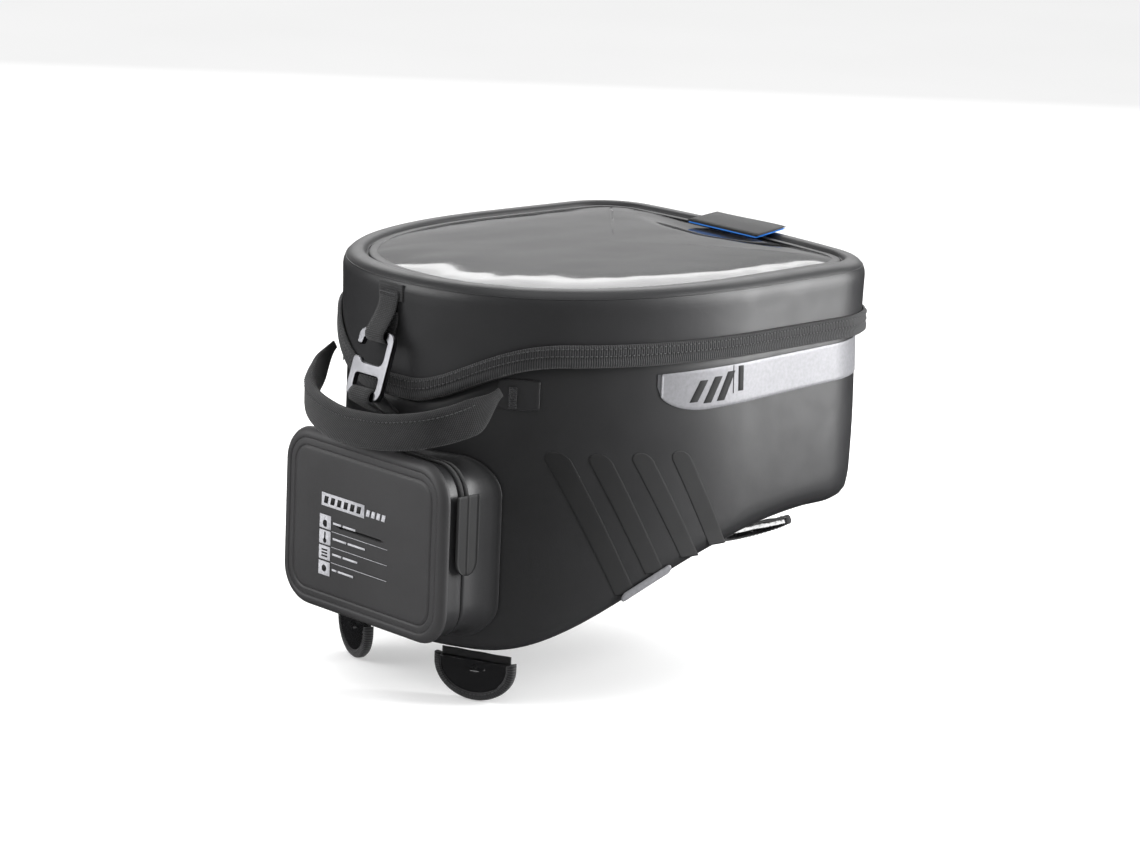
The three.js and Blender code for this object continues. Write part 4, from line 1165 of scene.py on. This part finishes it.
# Y and Z of the lower front corner, width, height and slant.
BAND_MARKS = [(-6, 215, 7, 15, 9), (6, 213.5, 7, 18, 10), (18, 214, 7, 20, 10)]
BAND_MARKS += [(33, 218, 0.8, 20, 0), (38, 219, 5, 18, 0)]
for side, sign in SIDES.items():

    def reflective(u, v, lift, sign=sign):
        fraction = lerp(STRIP_START, 0.905, u)
        rounded = np.sqrt(1 - (1 - np.minimum(1, u / 0.15)) ** 2)
        depth = lerp(29.5, 25.5, u) * lerp(0.3, 1, rounded)
        head = lerp(237, 242, np.minimum(1, u / 0.75))
        return wall(sign * fraction, head - (1 - v) * depth, 0.2 + lift)

    piece = patch(f"reflective_band_{side}", reflective, 120, 14, 0.45, "body", silver)
    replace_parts(piece, f"reflective_strip_{side}")

    for i, mark_shape in enumerate(BAND_MARKS):

        def mark(u, v, lift, shape=mark_shape, sign=sign):
            y, z, width, height, slant = shape
            return wall(sign * at_y(y + u * width + v * slant), z + v * height, 0.6 + lift)

        patch(f"band_mark_{side}_{i + 1}", mark, 5, 9, 0.2, "body", matte)

    for i, stripe_ends in enumerate(STRIPES):

        def stripe(u, v, lift, sign=sign, ends=stripe_ends):
            head_y, head_z, foot_y, foot_z = ends
            from_head = (1 - v) * math.hypot(foot_y - head_y, head_z - foot_z)
            y = lerp(foot_y, head_y, v) + (u - 0.5) * 15.5 * round_end(from_head, 7.5)
            z = np.maximum(lerp(foot_z, head_z, v), floor_z(y) + 3.5)
            return wall(sign * at_y(y), z, 0.12 + lift)

        piece = patch(f"relief_stripe_{side}_{i + 1}", stripe, 12, 72, 0.14, "body", matte)
        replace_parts(piece, f"side_stripe_{side}_{i + 1}")

    def reflector(u, v, lift, sign=sign):
        along = lerp(REFLECTOR_START, REFLECTOR_END, u)
        from_tip = np.minimum(u, 1 - u) * (REFLECTOR_END - REFLECTOR_START)
        z = floor_z(along) + 9.5 + (v - 0.5) * 6.2 * round_end(from_tip, 3, 0.03)
        return wall(sign * at_y(along), z, 0.9 + lift * (1 + 1.2 * (1 - (2 * v - 1) ** 2)))

    piece = patch(f"reflector_bar_{side}", reflector, 50, 11, 0.7, "body", silver)
    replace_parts(piece, f"lower_reflector_{side}")


# ------------------------------------------------------------ pull tab of the map pocket
TAB_RISE = math.radians(7)


def tab_point(x, along, up):
    y = TAB_Y + along * math.cos(TAB_RISE) - up * math.sin(TAB_RISE)
    return x, y, DECK_Z + 3.4 + along * math.sin(TAB_RISE) + up * math.cos(TAB_RISE)


def tab_sections(half, length, low, high):
    """Sections across a tab: along it, side of its thickness, and share of that thickness."""
    profile = [(0, -1, 1), (length * 0.5, -1, 1), (length - 1, -1, 0.9), (length, 0, 0.5)]
    profile += [(length - 1, 1, 0.9), (length * 0.5, 1, 1.15), (3, 1, 1.3), (0, 1, 1)]
    sections = []
    for x in np.linspace(-half, half, 40):
        edge = min(1, (half - abs(x)) / 2 + 0.35)
        bend = 0.5 * math.sin(x / 19)
        middle = (low + high) / 2
        rise = (high - low) / 2 * edge
        sections.append([tab_point(x, a, middle + bend * a / 30 + s * rise * r) for a, s, r in profile])
    return sections


tab = strip("tab_webbing", tab_sections(37, 30, 1.3, 2.9), "map_tab", tape)
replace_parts(tab, "map_tab")
backing = strip("tab_backing_skin", tab_sections(36.4, 29.8, 0.1, 1.0), "map_tab", blue)
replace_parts(backing, "map_tab_backing")


# ------------------------------------------------------------ magnetic flaps
FLAP_WIDTH, FLAP_LENGTH = 64, 30.8
REAR_ROOT = cad_box("flap_rear_right")[1][2] - 4.04
FLAP_PAD = [(25, 2.3), (20, 2.5), (14, 2.7), (9, 2.9), (5.5, 2.8), (4.2, 2.2)]
FLAP_PAD = [(inset, -y) for inset, y in FLAP_PAD] + [(4, 0)] + FLAP_PAD[::-1]
FLAP_BINDING = [(1, 3.0), (0.6, 3.5), (0.2, 3.3), (0, 1.8), (-0.02, 0), (0, -1.8), (0.2, -3.3), (0.6, -3.5)]
FLAP_BINDING += [(1, -3.0), (0.9, -2.4), (0.9, 2.4)]
FLAP_NECK = [(1.0, -3), (1.0, 0), (1.0, 3.9), (2.4, 3.9), (2.4, 0), (2.6, -3)]
# X, Y and Z of the middle of each flap's fold, its heading and how far it is tucked under, in degrees.
FLAPS = {
    "front_right": (66, -124.25, 30.8, 21, 0),
    "front_left": (-66, -124.25, 30.8, -21, 0),
    "rear_right": (122, 94.75, REAR_ROOT, 90, 62),
    "rear_left": (-122, 94.75, REAR_ROOT, -90, 62),
}


def tongue(inset, count=64):
    """The flap's outline: straight sides down from the fold and a round end."""
    r, drop, top = FLAP_WIDTH / 2 - inset, FLAP_LENGTH - inset, -inset * 0.3
    straight = FLAP_LENGTH - FLAP_WIDTH / 2 * 0.8
    angles = np.linspace(0, math.pi, count)
    arc = zip(r * np.cos(angles), -straight - (drop - straight) * np.sin(angles))
    side_z = [lerp(top, -straight, s) for s in (0, 0.25, 0.5, 0.75)]
    right, left = [(r, z) for z in side_z], [(-r, z) for z in side_z[::-1]]
    return np.array(right + list(arc) + left + [(x, top) for x in np.linspace(-r, r, 24)[1:-1]])


for name, (fx, fy, fz, heading, tuck) in FLAPS.items():
    turned = Matrix.Rotation(math.radians(heading), 3, "Z") @ Matrix.Rotation(math.radians(tuck), 3, "X")

    def to_flap(points, turned=np.array(turned), origin=(fx, fy, fz)):
        return np.asarray(points, float) @ turned.T + origin

    rings = []
    for inset, y in FLAP_PAD:
        outline = tongue(inset)
        points = np.stack([outline[:, 0], np.full(len(outline), y), outline[:, 1]], -1)
        crease = ripple(points + (fx, 0, 0), 9, 4)
        points[:, 1] += np.sign(y) * np.clip(crease, -0.5, 0.6) * 1.1 * min(1, inset / 12)
        rings.append(to_flap(points))
    pad = loft(f"flap_pad_{name}", rings, f"flap_{name}", glossy, ends=True)
    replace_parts(pad, f"flap_{name}")

    outer, inner = tongue(0.3)[:72], tongue(6.2)[:72]
    sections = []
    for a, b in zip(outer, inner):
        x, z = np.array([lerp(a, b, t) for t, _ in FLAP_BINDING]).T
        sections.append(to_flap(np.stack([x, [y for _, y in FLAP_BINDING], z], -1)))
    strip(f"flap_binding_{name}", sections, f"flap_{name}", ribbon)

    neck = []
    for x in np.linspace(-27, 27, 30):
        wave = 0.35 * math.sin(x / 3.1)
        neck.append(to_flap([(x, y + wave, z) for y, z in FLAP_NECK]))
    strip(f"flap_neck_{name}", neck, f"flap_{name}", twill)

    seam = np.array([lerp(a, b, 0.72) for a, b in zip(outer[3:-3], inner[3:-3])])
    for face_name, face_y in (("outside", -3.55), ("inside", 3.55)):
        line = to_flap(np.stack([seam[:, 0], np.full(len(seam), face_y), seam[:, 1]], -1))
        normal = to_flap([(0, math.copysign(1, face_y), 0)])[0] - (fx, fy, fz)
        out = np.repeat([normal], len(line), 0)
        stitches(f"flap_seam_{name}_{face_name}", line, out, 3.0, f"flap_{name}", thread, 0.32)


# ------------------------------------------------------------ carried-over CAD nodes, floor, lights and camera
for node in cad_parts.values():
    if not node.hide_render:
        node.data.materials.clear()
        node.data.materials.append(plated.material)

floor_paint = Paint("studio_floor", 0.9)
floor_paint.shader.inputs["Emission Color"].default_value = (1, 1, 1, 1)
floor_paint.shader.inputs["Emission Strength"].default_value = 0.22
floor_paint.color(floor_paint.noise(3, 2), (0.3, (0.80, 0.80, 0.80)), (0.7, (0.82, 0.82, 0.82)))
floor_points = [(-4, -4, 0), (4, -4, 0), (4, 4, 0), (-4, 4, 0)]
floor = make("studio_floor", np.array(floor_points) / MM, [(0, 1, 2, 3)], None, floor_paint)
floor.visible_glossy = False

world = bpy.data.worlds.new("studio")
bpy.context.scene.world = world
world.use_nodes = True
background = world.node_tree.nodes["Background"]
background.inputs["Color"].default_value = (1, 1, 1, 1)
background.inputs["Strength"].default_value = 0.85
world.cycles_visibility.glossy = False


def softbox(name, azimuth, elevation, distance, width, height, power, aim=(0, 0, 0.16)):
    """A rectangular light; azimuth 0 shines from -Y and 90 from +X."""
    a, e = math.radians(azimuth), math.radians(elevation)
    toward = Vector((math.sin(a) * math.cos(e), -math.cos(a) * math.cos(e), math.sin(e)))
    light = bpy.data.lights.new(name, "AREA")
    light.shape = "RECTANGLE"
    light.size, light.size_y, light.energy = width, height, power
    lamp = bpy.data.objects.new(name, light)
    bpy.context.scene.collection.objects.link(lamp)
    lamp.location = Vector(aim) + toward * distance
    lamp.rotation_mode = "QUATERNION"
    lamp.rotation_quaternion = toward.to_track_quat("Z", "Y")


# Name, azimuth and elevation in degrees, distance, width and height in metres, and power in watts.
for light in (
    ("front_left", -30, 24, 1.6, 1.1, 0.9, 15),
    ("overhead", 222, 42, 1.5, 2.0, 0.9, 18),
    ("rear_right", 134, 12, 1.4, 0.3, 1.4, 34),
    ("top", 60, 80, 1.6, 1.2, 1.2, 6),
    ("far_wall", 228, 13, 2.6, 3.4, 1.3, 9),
):
    softbox(*light)

camera = bpy.data.objects.new("camera", bpy.data.cameras.new("camera"))
bpy.context.scene.collection.objects.link(camera)
bpy.context.scene.camera = camera
camera.data.sensor_width = 36
camera.data.lens = 141.72
camera.data.clip_start, camera.data.clip_end = 0.1, 50
CAMERA_RIGHT = Vector((0.66913, 0.74208, 0.03969))
CAMERA_UP = Vector((-0.19583, 0.12455, 0.97270))
CAMERA_BACK = Vector((0.71688, -0.65863, 0.22866))
turn = Matrix((CAMERA_RIGHT, CAMERA_UP, CAMERA_BACK)).transposed()
CAMERA_PLACE = (2.334769, -2.127636, 0.909714)
camera.matrix_world = Matrix.Translation(CAMERA_PLACE) @ turn.to_4x4()

view = bpy.context.scene.view_settings
view.view_transform = "Standard"
view.look = "None"
